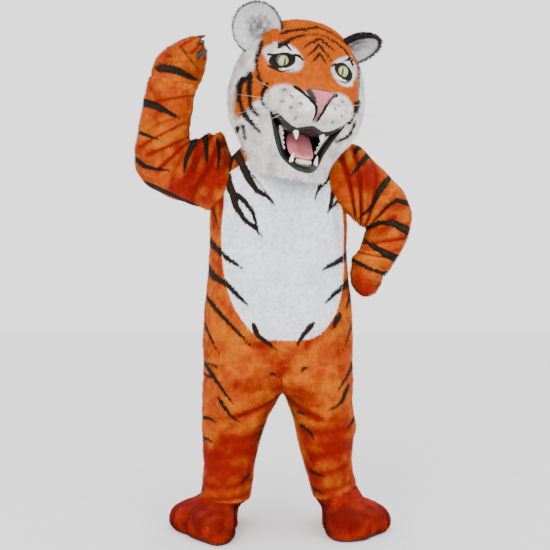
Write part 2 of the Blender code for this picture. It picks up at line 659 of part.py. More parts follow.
def build_legs():
    for side in (RIGHT, LEFT):
        surface = leg_surface(side)
        last = len(LEGS[side]["height"]) - 1
        place, turn = grid_of(np.linspace(0, last, LEG_ROWS), np.linspace(0, 1, LEG_TURNS + 1))
        outer = surface(place, turn)
        inner = level_rim(outer, offset(surface, place, turn, side * PLUSH))
        closed_wall(f"leg_{SIDE_NAMES[side]}", outer, inner, "orange_plush", tube=False)


# Sleeves. Each is one tube that meets the suit body at the armhole.


def sleeve_surface(side, rows, creases=None):
    def point(place, turn):
        outer_x, outer_z, inner_x, inner_z, middle_y, half_depth = (
            along(rows[c], place) for c in SLEEVE_COLUMNS.split())
        angle = 2 * math.pi * turn
        across = np.cos(angle) / 2
        reach = np.stack(((outer_x - inner_x) * across, -half_depth * np.sin(angle),
                          (outer_z - inner_z) * across), -1)
        centre = np.stack(((outer_x + inner_x) / 2, middle_y, (outer_z + inner_z) / 2), -1)
        depth = np.zeros(np.broadcast(place, turn).shape)
        if creases is not None:
            depth = crease_depth(creases, place, turn, SLEEVE_STEP, SLEEVE_GIRTH)
        return pressed(centre, reach, depth) + LIFT

    return point


def turns(count):
    return np.arange(count) / count


def sleeve_grid(side):
    surface = sleeve_surface(side, SLEEVES[side], SLEEVE_CREASES[side])
    last = len(SLEEVES[side]["middle_y"]) - 1
    return surface, *grid_of(np.linspace(0, last, SLEEVE_ROWS), turns(SLEEVE_TURNS))


def build_sleeves(core):
    for side in (RIGHT, LEFT):
        name = SIDE_NAMES[side]
        surface, place, turn = sleeve_grid(side)
        outer, inner = (offset(surface, place, turn, depth) for depth in (0, -PLUSH))
        cut(closed_wall(f"sleeve_{name}", outer, inner, "orange_plush", tube=True), core)
        opening = offset(surface, place, turn, -PLUSH - SEAM)[:ARMHOLE_RINGS]
        armhole = solid_grid(f"armhole_{name}", opening, None)
        for panel in (f"front_{name}", f"back_{name}", "belly_panel"):
            cut(bpy.data.objects[panel], armhole)


# Paw gloves. Each slips up inside its sleeve, and its fingers are curled over.


def to_pole(points):
    """A ring drawn together to the one point in its middle."""
    return np.repeat(points.mean(axis=0, keepdims=True), len(points), axis=0)


def glove_skins(side, *depths):
    """Grids of a glove's skin at depths below its surface: its cuff in the sleeve, then the paw."""
    surface, place, turn = sleeve_grid(side)
    paw = sleeve_surface(side, GLOVES[side], GLOVE_CREASES[side])
    last = len(GLOVES[side]["middle_y"]) - 1
    paw_place, paw_turn = grid_of(np.linspace(0, last, GLOVE_ROWS), turns(SLEEVE_TURNS))
    paw_place[-1] -= 0.05
    skins = []
    for depth in depths:
        cuff = offset(surface, place, turn, -PLUSH - SEAM - depth)[-GLOVE_CUFF_ROWS:]
        rings = offset(paw, paw_place, paw_turn, -depth)
        rings[-1] = to_pole(rings[-1])
        skins.append(np.concatenate((cuff, rings)))
    return skins


def horn(name, root, tip, radius, finish, matrix=None, sides=6):
    """A curved claw or tooth: rings that narrow from its root to its point."""
    root, tip = Vector(root), Vector(tip)
    way = (tip - root).normalized()
    sag = Vector((0, 0, -1)) - way * -way.z
    across = way.cross(sag).normalized()
    sag = across.cross(way).normalized()
    rings = []
    for share, size in ((0.0, 1.0), (0.35, 0.88), (0.65, 0.62), (0.88, 0.30), (1.0, 0.0)):
        middle = root.lerp(tip, share) - sag * (4 * share * (1 - share)) * radius * 0.35
        angles = [2 * math.pi * i / sides for i in range(sides)]
        rings.append([middle + (across * math.cos(a) + sag * math.sin(a)) * radius * size for a in angles])
    return solid_grid(name, np.array(rings), finish, matrix=matrix)


def build_gloves():
    for side in (RIGHT, LEFT):
        name = SIDE_NAMES[side]
        outer, inner = glove_skins(side, 0, PLUSH)
        closed_wall(f"glove_{name}", outer, inner, "orange_plush", tube=True)
        core = solid_grid(f"glove_core_{name}", glove_skins(side, -SEAM)[0][GLOVE_CUFF_ROWS:], None)
        rows = zip(*(CLAWS[side][c] for c in CLAW_COLUMNS.split()))
        for i, (*ends, radius) in enumerate(rows):
            root, tip = np.array(ends[:3]) + LIFT, np.array(ends[3:]) + LIFT
            cut(horn(f"claw_{name}_{i + 1}", root, tip, radius, "black_rubber"), core)


# Paw boots, on flat soles. Each boot's shaft stands up inside the leg.


def boot_ring(side, height, reach, shaft, wall=0.0):
    """One ring of a boot's foot, between its ankle and the foot's outline."""
    middle = np.array(BOOT_MIDDLES[side])
    angles = 2 * math.pi * turns(LEG_TURNS)
    ahead = np.column_stack((-side * np.cos(angles), -np.sin(angles)))
    outline = middle + ahead * np.array(BOOT_REACH[side])[:, None]
    flat = shaft[:, :2] * (1 - reach) + outline * reach - ahead * wall
    return np.column_stack((flat, np.full(len(angles), height))) + LIFT


def build_boots():
    for side in (RIGHT, LEFT):
        name = SIDE_NAMES[side]
        surface = leg_surface(side)
        last = len(LEGS[side]["height"]) - 1
        place, turn = grid_of(np.linspace(0, last, LEG_ROWS)[-BOOT_SHAFT_ROWS:], turns(LEG_TURNS))
        skins = []
        for depth in (0, 1):
            shaft = offset(surface, place, turn, side * (PLUSH + SEAM + depth * PLUSH))
            ankle = offset(surface, place, turn, side * (PLUSH + SEAM))[-1]
            foot = [boot_ring(side, height, reach, ankle, depth * BOOT_WALL)
                    for height, reach in zip(*BOOT.values())]
            skins.append(np.concatenate((shaft, foot[::-1])))
        closed_wall(f"boot_{name}", *skins, "red_plush", tube=True)
        plate = [boot_ring(side, height, BOOT["reach"][0], ankle) for height in (0.0, SOLE)]
        solid_grid(f"sole_{name}", np.array(plate), "sole")


# Head. A moulded shell with the face's forms, open at the base.


def head_point(place, turn):
    """A point of the head's outside, in its own frame, by row and by share of a turn from the front."""
    half_width, front, back, height = (along(HEAD[c], place) for c in ("half_width", "front", "back", "z"))
    wrapped = (turn + 0.5) % 1 - 0.5
    angle = 2 * math.pi * wrapped
    sine, cosine = np.sin(angle), np.cos(angle)
    depth = np.where(cosine > 0, front, back)
    x, y, z = half_width * sine, -depth * cosine, height + 0 * angle
    ruff = RUFF_RISE * np.exp(-(((np.abs(angle) - RUFF_ANGLE) / RUFF_SPREAD) ** 2)
                              - ((z - RUFF_Z) / RUFF_TALL) ** 2)
    x, y = x + np.sign(sine) * ruff, y + ruff * 0.2
    facing = np.clip(cosine * 3, 0, 1)
    for middle_x, middle_z, wide, tall, rise in zip(*FACE_FORMS.values()):
        y = y - facing * rise * np.exp(-(((x - middle_x) / wide) ** 2) - ((z - middle_z) / tall) ** 2)
    return np.stack((x, y, z), -1)


def head_turns():
    half = 0.5 * np.linspace(0, 1, HEAD_COLUMNS) ** FRONT_CROWDING
    return np.concatenate((half, 1 - half[-2:0:-1]))


def head_skin(depth):
    last = len(HEAD["z"]) - 1
    places = np.linspace(0, last, HEAD_ROWS)
    places[0] = 0.03
    skin = offset(head_point, *grid_of(places, head_turns()), depth)
    skin[0] = to_pole(skin[0])
    return skin


HEAD_MATRIX = (Matrix.Translation(HEAD_MIDDLE) @ Matrix.Rotation(HEAD_ROLL, 4, "Y")
               @ Matrix.Rotation(HEAD_YAW, 4, "Z"))


def face_tree():
    """The head's outside for casting rays at."""
    skin = head_skin(0)
    rows, columns = skin.shape[:2]
    faces = [(i * columns + j, i * columns + (j + 1) % columns, (i + 1) * columns + (j + 1) % columns,
              (i + 1) * columns + j) for i in range(rows - 1) for j in range(columns)]
    return BVHTree.FromPolygons([tuple(point) for point in skin.reshape(-1, 3)], faces)


FACE = face_tree()


def face_y(x, z):
    """How far forward the face is at a place seen from the front."""
    hit = FACE.ray_cast(Vector((x, -1, z)), Vector((0, 1, 0)))[0]
    return hit.y if hit else -0.1


def mouth_edge():
    """The mouth's whole edge as places seen from the front."""
    right = np.column_stack((MOUTH_EDGE["x"], MOUTH_EDGE["z"]))
    return np.concatenate((right, right[-2:0:-1] * (-1, 1)))


def mouth_prism(name):
    """A solid that runs back through the mouth's edge."""
    prism = np.array([[(x, y, z) for x, z in mouth_edge()] for y in (-0.5, -0.03)])
    return solid_grid(name, prism, None, matrix=HEAD_MATRIX)


def edge_inward(edge):
    run = np.roll(edge, -1, axis=0) - np.roll(edge, 1, axis=0)
    return np.column_stack((run[:, 1], -run[:, 0])) / np.linalg.norm(run, axis=1)[:, None]


def mouth_skin(depth):
    """The mouth lining's seen side, in rings from the lips to the throat, moved by a depth."""
    edge, middle = mouth_edge(), np.array(MOUTH_MIDDLE)
    face = np.array([face_y(*place) for place in edge])
    lip = MOUTH_EDGE["lip"]
    inward = edge_inward(edge) * np.concatenate((lip, lip[-2:0:-1]))[:, None]
    count = len(edge)

    def point(place, turn):
        inset, scale, behind, to_back = (along(column, place) for column in MOUTH_RINGS.values())
        column = turn * count
        first = np.floor(column).astype(int) % count
        share = column - np.floor(column)

        def between(values):
            weight = share if values.ndim == 1 else share[..., None]
            return values[first] * (1 - weight) + values[(first + 1) % count] * weight

        flat = middle + (between(edge) + between(inward) * inset[..., None] - middle) * scale[..., None]
        y = (between(face) + behind) * (1 - to_back) + MOUTH_BACK_Y * to_back
        return np.stack((flat[..., 0], y, flat[..., 1]), -1)

    places = np.arange(len(MOUTH_RINGS["scale"]), dtype=float)
    places[-1] -= 0.05
    place, turn = grid_of(places, turns(count))
    skin = offset(point, place, turn, depth)
    skin[:LIP_RINGS] = point(place, turn)[:LIP_RINGS] + (0, depth, 0)
    skin[-1] = to_pole(skin[-1])
    return skin


def build_head(core):
    shell = closed_wall("head_shell", head_skin(0), head_skin(HEAD_WALL), "orange_plush", tube=True,
                        matrix=HEAD_MATRIX)
    cut(shell, mouth_prism("mouth_hole"))
    cut(shell, core)
    return solid_grid("head_core", head_skin(-SEAM), None, matrix=HEAD_MATRIX)


def build_mouth():
    seen = mouth_skin(0)
    closed_wall("mouth_lining", seen, mouth_skin(LINING), "black_rubber", tube=True, matrix=HEAD_MATRIX)
    room = mouth_skin(-SEAM)
    front = seen[:1].copy()
    front[..., 1] = -0.5
    room = solid_grid("mouth_room", np.concatenate((front, seen[:1], room[1:])), None, matrix=HEAD_MATRIX)
    angles = 2 * math.pi * turns(TONGUE_TURNS)
    tongue = []
    for y, z, half_width, half_height in zip(*TONGUE.values()):
        x, rise = half_width * np.cos(angles), half_height * np.sin(angles)
        groove = TONGUE_GROOVE * np.exp(-((x / 0.010) ** 2)) * (rise > 0) * (half_width > 0)
        tongue.append(np.column_stack((x, np.full(TONGUE_TURNS, y), z + rise - groove)))
    pieces = [solid_grid("tongue", np.array(tongue), "pink_rubber", matrix=HEAD_MATRIX)]
    for name, (root, tip, radius) in FANGS.items():
        pieces.append(horn(name, root, tip, radius, "tooth", HEAD_MATRIX))
    for name, (first, last, way, behind, count, length) in TEETH.items():
        rings = []
        for share in np.linspace(0, 1, count * 4 + 1):
            x, z = (a + (b - a) * share for a, b in zip(first, last))
            rise = 0.002 + length * abs(math.sin(math.pi * count * share)) ** 0.6
            y = face_y(x, z) + behind
            rings.append([(x + way[0] * out, y + BAR_HALF_DEPTH * back, z + way[1] * out)
                          for out, back in ((-BAR_BEHIND, -1), (-BAR_BEHIND, 1), (rise, 1), (rise, -1))])
        pieces.append(solid_grid(name, np.array(rings), "tooth", matrix=HEAD_MATRIX))
    for piece in pieces:
        cut(piece, room, "INTERSECT")


def ball(name, middle, radii, finish, keystone=0.0, segments=14, rings=9):
    """An ellipsoid, wider at its top by its keystone."""
    points = []
    for i in range(rings + 1):
        polar = math.pi * i / rings
        ring = []
        for j in range(segments):
            around = 2 * math.pi * j / segments
            x, y, z = math.sin(polar) * math.cos(around), math.sin(polar) * math.sin(around), math.cos(polar)
            x *= 1 + keystone * z
            ring.append([m + r * c for m, r, c in zip(middle, radii, (x, y, z))])
        points.append(ring)
    return solid_grid(name, np.array(points), finish, matrix=HEAD_MATRIX)


def build_face(core):
    for side in (RIGHT, LEFT):
        x = side * EYE_X
        eye = (x, face_y(x, EYE_Z) + EYE_SINK, EYE_Z)
        cut(ball(f"eye_{SIDE_NAMES[side]}", eye, (EYE_RADIUS,) * 3, "eye"), core)
    nose = (0, face_y(0, NOSE_Z) + NOSE_SINK, NOSE_Z)
    cut(ball("nose", nose, NOSE_SIZE, "pink_rubber", keystone=0.45), core)
    for side in (RIGHT, LEFT):
        for i, (root_x, root_z, tip_x, tip_y, tip_z) in enumerate(zip(*WHISKERS.values())):
            root = Vector((side * root_x, face_y(side * root_x, root_z) + 0.004, root_z))
            tip = Vector((side * tip_x, tip_y, tip_z))
            rings = []
            for share in np.linspace(0, 1, WHISKER_POINTS):
                middle = root.lerp(tip, share) - Vector((0, 0, WHISKER_BOW * share**2))
                radius = WHISKER_RADIUS * (1 - share) ** 0.5
                rings.append([middle + Vector((0, radius * math.cos(a), radius * math.sin(a)))
                              for a in (0, math.pi / 2, math.pi, 3 * math.pi / 2)])
            whisker = solid_grid(f"whisker_{SIDE_NAMES[side]}_{i + 1}", np.array(rings), "whisker",
                                 matrix=HEAD_MATRIX)
            cut(whisker, core)


def build_ears(core):
    for side, (middle, turned, leaned, rolled) in EARS.items():
        matrix = (HEAD_MATRIX @ Matrix.Translation(middle) @ Matrix.Rotation(turned, 4, "Z")
                  @ Matrix.Rotation(leaned, 4, "X") @ Matrix.Rotation(rolled, 4, "Y"))

        def point(place, turn):
            radius, depth = along(EAR_RINGS["radius"], place), along(EAR_RINGS["depth"], place)
            angle = 2 * math.pi * turn
            return np.stack((radius * np.sin(angle), depth, EAR_TALL * radius * np.cos(angle)), -1)

        places = np.linspace(0, len(EAR_RINGS["radius"]) - 1, 6)
        places[0] = 0.05
        place, turn = grid_of(places, turns(EAR_TURNS))
        skins = [offset(point, place, turn, depth) for depth in (0, EAR_WALL)]
        for skin in skins:
            skin[0] = to_pole(skin[0])
        cut(closed_wall(f"ear_{SIDE_NAMES[side]}", *skins, "white_plush", tube=True, matrix=matrix), core)


build_suit_body()
BODY_CORE = body_core("body_core", SEAM)
build_legs()
build_sleeves(BODY_CORE)
build_gloves()
build_boots()
HEAD_CORE = build_head(BODY_CORE)
build_mouth()
build_face(HEAD_CORE)
build_ears(HEAD_CORE)
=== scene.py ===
"""The looks of a plush tiger costume, worn: suit, sleeves, legs, paw gloves, paw boots and head.

Metres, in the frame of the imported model: +Z up, it faces -Y, and the wearer's shoulders are at the origin.
"""

import math

import bmesh
import bpy
import numpy as np
from mathutils import Matrix, Vector, noise
from mathutils.bvhtree import BVHTree
from mathutils.kdtree import KDTree


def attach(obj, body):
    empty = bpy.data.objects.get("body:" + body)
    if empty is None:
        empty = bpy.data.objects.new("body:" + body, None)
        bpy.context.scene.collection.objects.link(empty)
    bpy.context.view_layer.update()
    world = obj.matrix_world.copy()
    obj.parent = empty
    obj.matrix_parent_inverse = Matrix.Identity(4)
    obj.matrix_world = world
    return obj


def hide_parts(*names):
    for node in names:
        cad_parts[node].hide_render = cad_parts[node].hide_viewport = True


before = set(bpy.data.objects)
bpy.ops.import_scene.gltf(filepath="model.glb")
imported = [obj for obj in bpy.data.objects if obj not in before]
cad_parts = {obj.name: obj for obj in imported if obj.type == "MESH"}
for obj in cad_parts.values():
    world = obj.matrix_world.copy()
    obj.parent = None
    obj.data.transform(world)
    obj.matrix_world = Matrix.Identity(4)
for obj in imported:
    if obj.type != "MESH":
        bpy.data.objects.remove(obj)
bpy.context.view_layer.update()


# The suit's body is sewn from five panels of short-pile plush: a white belly, two orange fronts and two
# orange backs. It is closed down the centre back by a zip under a plush flap, and hangs from the shoulders.
# The pile is combed down, and the tiger's marks are painted on it in black.

SHOULDER_HEIGHT = 1.40
LIFT = np.array((0.0, 0.0, -SHOULDER_HEIGHT))
RIGHT, LEFT = -1, 1
SIDE_NAMES = {RIGHT: "right", LEFT: "left"}
SEAM = 0.0003
PLUSH = 0.003
TORSO_TURN = math.radians(8)
ROUNDING = 2.4


def rows_of(text, per_metre=1000):
    """Rows of numbers, with a semicolon between them, in millimetres unless told otherwise, as metres."""
    return [[float(number) / per_metre for number in row.split()] for row in text.split(";")]


def table(columns, text, per_metre=1000):
    """Named columns of a table of sections, each as one array."""
    return {name: np.array(values) for name, values in zip(columns.split(), zip(*rows_of(text, per_metre)))}


def strokes(view, text, sizes=1):
    """Marks or folds seen from one side, or from all round: each row's sizes, then its line's points."""
    return [(view, *row[:sizes], *zip(row[sizes::2], row[sizes + 1::2])) for row in rows_of(text)]


TORSO = table("height half_width front back", """
    620 268 185 180; 700 270 197 178; 800 264 203 168; 900 254 200 160; 1000 246 192 155; 1100 244 180 155;
    1200 236 166 152; 1270 219 152 146; 1310 198 138 138; 1340 174 125 128; 1370 146 112 116;
    1400 116 98 100
""")
BODY_SEAMS = table("side_height back_height edge_height edge_width", """
    620 620 620 0; 648 650 660 0; 678 685 717 0; 710 720 717 48; 748 760 727 96; 790 800 760 139;
    840 845 812 172; 892 895 876 194; 948 950 942 205; 1004 1005 1008 211; 1062 1060 1070 212;
    1116 1115 1128 208; 1170 1170 1184 206; 1222 1225 1233 205; 1268 1275 1270 196; 1312 1322 1300 174;
    1355 1365 1325 138; 1392 1398 1348 108
""")
BELLY_FIRST_ROW, FRONT_LAST_ROW, BODY_LAST_ROW = 3, 13, 17
BELLY_COLUMNS, FRONT_COLUMNS, BACK_COLUMNS, CORE_COLUMNS = 66, 28, 44, 120
BELLY_ROWS, FRONT_ROWS, BACK_ROWS, CORE_ROWS = 113, 105, 137, 60

# Soft folds of the suit, seen from the front and from the back: depth, width and the line each follows.
BODY_FOLDS = strokes("front", """
    7 14 -215 -130 -200 -190 -205 -260; 6 12 -236 -180 -222 -250 -226 -330; 6 13 224 -180 206 -250 214 -330;
    4 20 -120 -330 20 -345 120 -325; 4 18 -80 -470 40 -490 150 -470; 3 14 -30 -200 -10 -300 -25 -390;
    3 13 60 -220 45 -330 60 -430; 5 18 -230 -600 -120 -680 -20 -730; 5 18 240 -590 140 -670 40 -730
""", sizes=2) + strokes("back", """
    8 20 -180 -110 -60 -160 60 -155 180 -110; 7 18 -210 -220 -90 -250 50 -240;
    7 20 220 -300 100 -340 -40 -335; 8 18 -230 -430 -80 -470 90 -465 220 -430;
    8 20 -200 -720 -100 -760 -20 -820; 8 20 200 -720 100 -760 20 -820
""", sizes=2)
# Painted marks, seen from the front and from the back: greatest width, and the line from root to point.
BODY_MARKS = strokes("front", """
    34 -166 -5 -148 -33 -132 -63 -104 -125 -72 -167 -35 -188 -10 -216;
    9 -130 -55 -95 -104 -56 -151 -12 -212;
    32 -182 -90 -172 -140 -158 -178 -147 -221 -116 -266 -78 -298 -50 -330;
    21 -150 -172 -110 -210 -88 -241 -66 -312; 21 192 -60 158 -112 143 -152 126 -200;
    14 190 -85 173 -131 140 -170; 25 196 -110 191 -170 187 -200 172 -250; 16 216 -180 206 -206 178 -238;
    28 -262 -322 -236 -352 -185 -397 -116 -440; 30 -262 -425 -225 -470 -180 -490 -147 -523 -100 -564;
    28 262 -380 236 -404 189 -424 148 -443; 28 262 -470 241 -500 200 -524 160 -560;
    22 -86 -625 -73 -665 -41 -690 4 -724; 24 122 -624 87 -665 58 -714;
    20 -262 -535 -213 -586 -147 -651 -75 -728; 14 -268 -630 -236 -690 -200 -755;
    17 262 -520 247 -566 236 -592; 25 216 -600 203 -625 188 -655; 11 268 -630 241 -700 213 -756;
    10 -236 -215 -222 -255 -206 -305; 9 -250 -262 -239 -310; 28 -157 -30 -171 -64 -176 -150
""") + strokes("back", """
    22 -262 -322 -210 -356 -120 -384 -45 -388; 22 262 -380 200 -395 120 -410 55 -412;
    20 -262 -425 -190 -462 -110 -480; 20 262 -470 180 -492 90 -506;
    24 -262 -535 -180 -570 -100 -590 -40 -590; 22 262 -540 170 -590 85 -604;
    18 -268 -630 -200 -662 -120 -680; 18 268 -630 190 -680 110 -694;
    22 -215 -120 -150 -145 -70 -150 -35 -142; 22 220 -110 140 -150 75 -156 40 -146;
    20 -240 -220 -160 -258 -90 -270; 20 240 -245 160 -280 80 -290; 14 -100 -50 -70 -80 -30 -88;
    14 100 -45 70 -78 34 -90
""")
ORANGE = np.array((0.500, 0.066, 0.001))
AMBER = np.array((0.590, 0.136, 0.002))
# The painted shade colour: the deep red that the orange plush is darkened to in its folds and creases and in
# shaded patches.
FOLD_SHADE_RED = np.array((0.290, 0.007, 0.001))
BELLY_WHITE = np.array((0.925, 0.945, 0.975))
# Patches of painted shade, where the orange pile is darkened to a deeper red: middle, reach and strength,
# seen from the front.
BODY_SHADE_SPOTS = rows_of("""
    -0.2 -0.11 0.06 0.9; 0.215 -0.09 0.06 0.9; -0.225 -0.19 0.05 0.6; 0.01 -0.76 0.06 0.7;
    0.235 -0.56 0.04 0.5
""", per_metre=1)


def along(column, place):
    """A column's smooth value at a fractional row number, on a Catmull-Rom curve through the rows."""
    last = len(column) - 1
    place = np.clip(place, 0, last)
    row = np.minimum(place.astype(int), last - 1)
    t = place - row
    before, here, after, beyond = (column[np.clip(row + step, 0, last)] for step in (-1, 0, 1, 2))
    return 0.5 * (2 * here + (after - before) * t + (2 * before - 5 * here + 4 * after - beyond) * t**2
                  + (3 * here - before - 3 * after + beyond) * t**3)


def normals_of(surface, place, turn):
    """A surface's normals, from points a small step apart."""
    step = 2e-3
    down = surface(place + step, turn) - surface(place - step, turn)
    across = surface(place, turn + step) - surface(place, turn - step)
    normal = np.cross(across, down)
    return normal / np.maximum(np.linalg.norm(normal, axis=-1, keepdims=True), 1e-12)


def grid_of(places, turns):
    """Every place along with every turn."""
    return np.meshgrid(np.asarray(places, float), np.asarray(turns, float), indexing="ij")


def facing(normal, view):
    """How much a place faces the side that a mark or fold is seen from."""
    if view == "round":
        return np.ones(normal.shape[:-1])
    ahead = normal[..., 1] * (1 if view == "back" else -1)
    return np.clip((ahead + 0.12) / 0.24, 0, 1)


def near_line(flat, points):
    """The distance to a line of points, and the share of its length that lies before the nearest place."""
    line = np.array(points, float)
    runs = np.diff(line, axis=0)
    lengths = np.linalg.norm(runs, axis=1)
    ends = np.concatenate(((0.0,), np.cumsum(lengths))) / lengths.sum()
    best, share = np.full(flat.shape[:-1], 9.0), np.zeros(flat.shape[:-1])
    for i, run in enumerate(runs):
        away = flat - line[i]
        t = np.clip((away @ run) / (run @ run), 0, 1)
        distance = np.linalg.norm(away - t[..., None] * run, axis=-1)
        closer = distance < best
        best = np.where(closer, distance, best)
        share = np.where(closer, ends[i] + (ends[i + 1] - ends[i]) * t, share)
    return best, share


def fold_depth(points, normal, folds):
    """How deep the folds press the cloth: a soft trough with a low roll on each side."""
    flat, depth = points[..., (0, 2)], np.zeros(points.shape[:-1])
    for view, deep, width, *line in folds:
        distance, share = near_line(flat, line)
        ends = np.clip(np.minimum(share, 1 - share) / 0.25, 0.15, 1)
        roll = np.exp(-(((distance - 1.9 * width) / width) ** 2))
        trough = np.exp(-((distance / width) ** 2)) - 0.40 * roll
        depth += deep * trough * ends * facing(normal, view)
    return depth


def mark_reach(points, normal, marks):
    """How far inside the painted marks each place is, in millimetres: below 0 it is outside them."""
    flat, inside = points[..., (0, 2)], np.full(points.shape[:-1], -0.02)
    for view, width, *line in marks:
        distance, share = near_line(flat, line)
        half = width / 2 * np.clip((share + 0.12) / 0.24, 0, 1) * np.clip(1.02 - share, 0, 1) ** 0.5
        inside = np.maximum(inside, half - distance - 0.02 * (1 - facing(normal, view)))
    return inside * 1000


def unevenness(points, scale, depth, seed):
    """A soft random rise and fall of a surface."""
    flat = points.reshape(-1, 3) * scale + seed
    return depth * np.array([noise.noise(place) for place in flat.tolist()]).reshape(points.shape[:-1])


def quads(grid):
    """The faces between the points of a grid of point numbers."""
    return np.stack((grid[:-1, :-1], grid[:-1, 1:], grid[1:, 1:], grid[1:, :-1]), -1).reshape(-1, 4)


def joined_wall(name, outer, inner, tube):
    """A closed wall between a fine outer grid and an inner one with half its rows and columns."""
    rows, columns = outer.shape[:2]
    inner_rows, inner_columns = inner.shape[:2]
    first = np.arange(rows * columns).reshape(rows, columns)
    second = rows * columns + np.arange(inner_rows * inner_columns).reshape(inner_rows, inner_columns)
    if tube:
        first, second = (np.concatenate((grid, grid[:, :1]), axis=1) for grid in (first, second))
    outside, inside = quads(first), quads(second)[:, ::-1]
    faces = outside.tolist() + inside.tolist()
    edges = [(first[0], second[0]), (first[-1][::-1], second[-1][::-1])]
    if not tube:
        edges += [(first[::-1, 0], second[::-1, 0]), (first[:, -1], second[:, -1])]
    for fine, coarse in edges:
        for j in range(len(coarse) - 1):
            faces.append([int(fine[2 * j + 2]), int(fine[2 * j + 1]), int(fine[2 * j]),
                          int(coarse[j]), int(coarse[j + 1])])
    mesh = bpy.data.meshes.new(name)
    mesh.from_pydata(np.concatenate((outer.reshape(-1, 3), inner.reshape(-1, 3))).tolist(), [], faces)
    mesh.polygons.foreach_set("material_index", np.repeat((0, 1), (len(outside), len(faces) - len(outside))))
    return tidied(name, mesh)


def linked(name, data):
    """A new object in the scene."""
    obj = bpy.data.objects.new(name, data)
    bpy.context.scene.collection.objects.link(obj)
    return obj


def tidied(name, mesh, matrix=None):
    """A new object whose mesh has its doubled points joined and its faces turned outwards."""
    bm = bmesh.new()
    bm.from_mesh(mesh)
    bmesh.ops.remove_doubles(bm, verts=bm.verts, dist=1e-6)
    bmesh.ops.dissolve_degenerate(bm, dist=1e-7, edges=bm.edges)
    bmesh.ops.recalc_face_normals(bm, faces=bm.faces)
    if matrix is not None:
        bm.transform(matrix)
    bm.to_mesh(mesh)
    bm.free()
    mesh.shade_smooth()
    return linked(name, mesh)


def applied(obj):
    """The object with its modifiers made part of its mesh."""
    mesh = bpy.data.meshes.new_from_object(obj.evaluated_get(bpy.context.evaluated_depsgraph_get()))
    obj.modifiers.clear()
    old, obj.data = obj.data, mesh
    bpy.data.meshes.remove(old)
    return obj


def solid_grid(name, points, matrix=None, ends=True):
    """A closed solid from rings of points."""
    rows, columns = points.shape[:2]
    index = np.arange(rows * columns).reshape(rows, columns)
    index = np.concatenate((index, index[:, :1]), axis=1)
    faces = quads(index).tolist()
    if ends:
        faces += [row[:-1].tolist() for row, ring in ((index[0], points[0]), (index[-1], points[-1]))
                  if np.ptp(ring, axis=0).max() > 1e-6]
    mesh = bpy.data.meshes.new(name)
    mesh.from_pydata(points.reshape(-1, 3).tolist(), [], faces)
    return tidied(name, mesh, matrix)


def mesh_points(obj):
    """A mesh's points and their normals, as arrays."""
    mesh = obj.data
    points, normals = (np.empty(len(mesh.vertices) * 3, np.float32) for _ in range(2))
    mesh.vertices.foreach_get("co", points)
    mesh.vertices.foreach_get("normal", normals)
    return points.reshape(-1, 3).astype(float), normals.reshape(-1, 3).astype(float)


def painted(obj, colour, marks, nap, pile, length=None):
    """Stores what the plush needs at each point: colour, marks, the way it lies, how much and how long."""
    mesh = obj.data
    count = len(mesh.vertices)
    lining = np.zeros(count, bool)
    for face in mesh.polygons:
        if face.material_index == 1:
            lining[list(face.vertices)] = True
    pile = np.where(lining, 0.0, np.broadcast_to(pile, count))
    coat = mesh.attributes.new("coat", "FLOAT_COLOR", "POINT")
    coat.data.foreach_set("color", np.column_stack((colour, np.ones(count))).astype(np.float32).ravel())
    way = mesh.attributes.new("nap", "FLOAT_VECTOR", "POINT")
    way.data.foreach_set("vector", np.broadcast_to(nap, (count, 3)).astype(np.float32).ravel())
    mesh.attributes.new("pile", "FLOAT", "POINT").data.foreach_set("value", pile.astype(np.float32))
    for name, values in (("mark", marks), ("pile_length", 1.0 if length is None else length)):
        values = np.broadcast_to(values, count).astype(np.float32)
        mesh.attributes.new(name, "FLOAT", "POINT").data.foreach_set("value", values)
    return obj


def blended(colour, other, share):
    """One colour, or one at each point, turned into another by a share at each point."""
    return colour + (other - colour) * np.clip(share, 0, 1)[..., None]


def orange_coat(points, normal, folds, shade_spots, seed=0.0):
    """The orange plush's colour: amber and redder in random patches, with painted shade in deep red in its
    folds and in the given shaded spots.
    """
    patches = (0.5 + 1.7 * unevenness(points, 16.0, 1.0, 3.1 + seed)
               + 1.3 * unevenness(points, 46.0, 1.0, 7.7 + seed))
    colour = blended(ORANGE, AMBER, patches)
    # Painted shade: the folds and the shade spots darken the orange towards deep red, on top of a random
    # redder tone.
    red = np.clip(fold_depth(points, normal, folds) / 0.008, -0.2, 1)
    red = red + 1.1 * unevenness(points, 13.0, 1.0, 9.2 + seed)
    red = red + 0.6 * unevenness(points, 34.0, 1.0, 5.2 + seed)
    for x, z, reach, strength in shade_spots:
        red = red + strength * np.exp(-(((points[..., 0] - x) ** 2 + (points[..., 2] - z) ** 2) / reach**2))
    return blended(colour, FOLD_SHADE_RED, red * 0.92)


def wired(tree, node, inputs):
    """Gives a node's inputs their values, or links them to the outputs of others."""
    for socket, value in inputs.items():
        if isinstance(value, bpy.types.NodeSocket):
            tree.links.new(value, node.inputs[socket])
        else:
            node.inputs[socket].default_value = value
    return node


def added(tree, kind, inputs, **settings):
    """A new node in a tree."""
    node = tree.nodes.new(kind)
    for name, value in settings.items():
        setattr(node, name, value)
    return wired(tree, node, inputs)


def ranged(tree, value, *limits):
    """A value mapped from between the first two limits to between the last two."""
    names = ("From Min", "From Max", "To Min", "To Max")
    return added(tree, "ShaderNodeMapRange", {"Value": value, **dict(zip(names, limits))}).outputs["Result"]


def mixed(tree, share, first, second):
    """One colour turned into another by a share."""
    return added(tree, "ShaderNodeMix", {"Factor": share, "A": first, "B": second},
                 data_type="RGBA").outputs["Result"]


def new_material(name):
    """A new material, its nodes and its shader."""
    material = bpy.data.materials.new(name)
    material.use_nodes = True
    return material, material.node_tree, material.node_tree.nodes["Principled BSDF"]


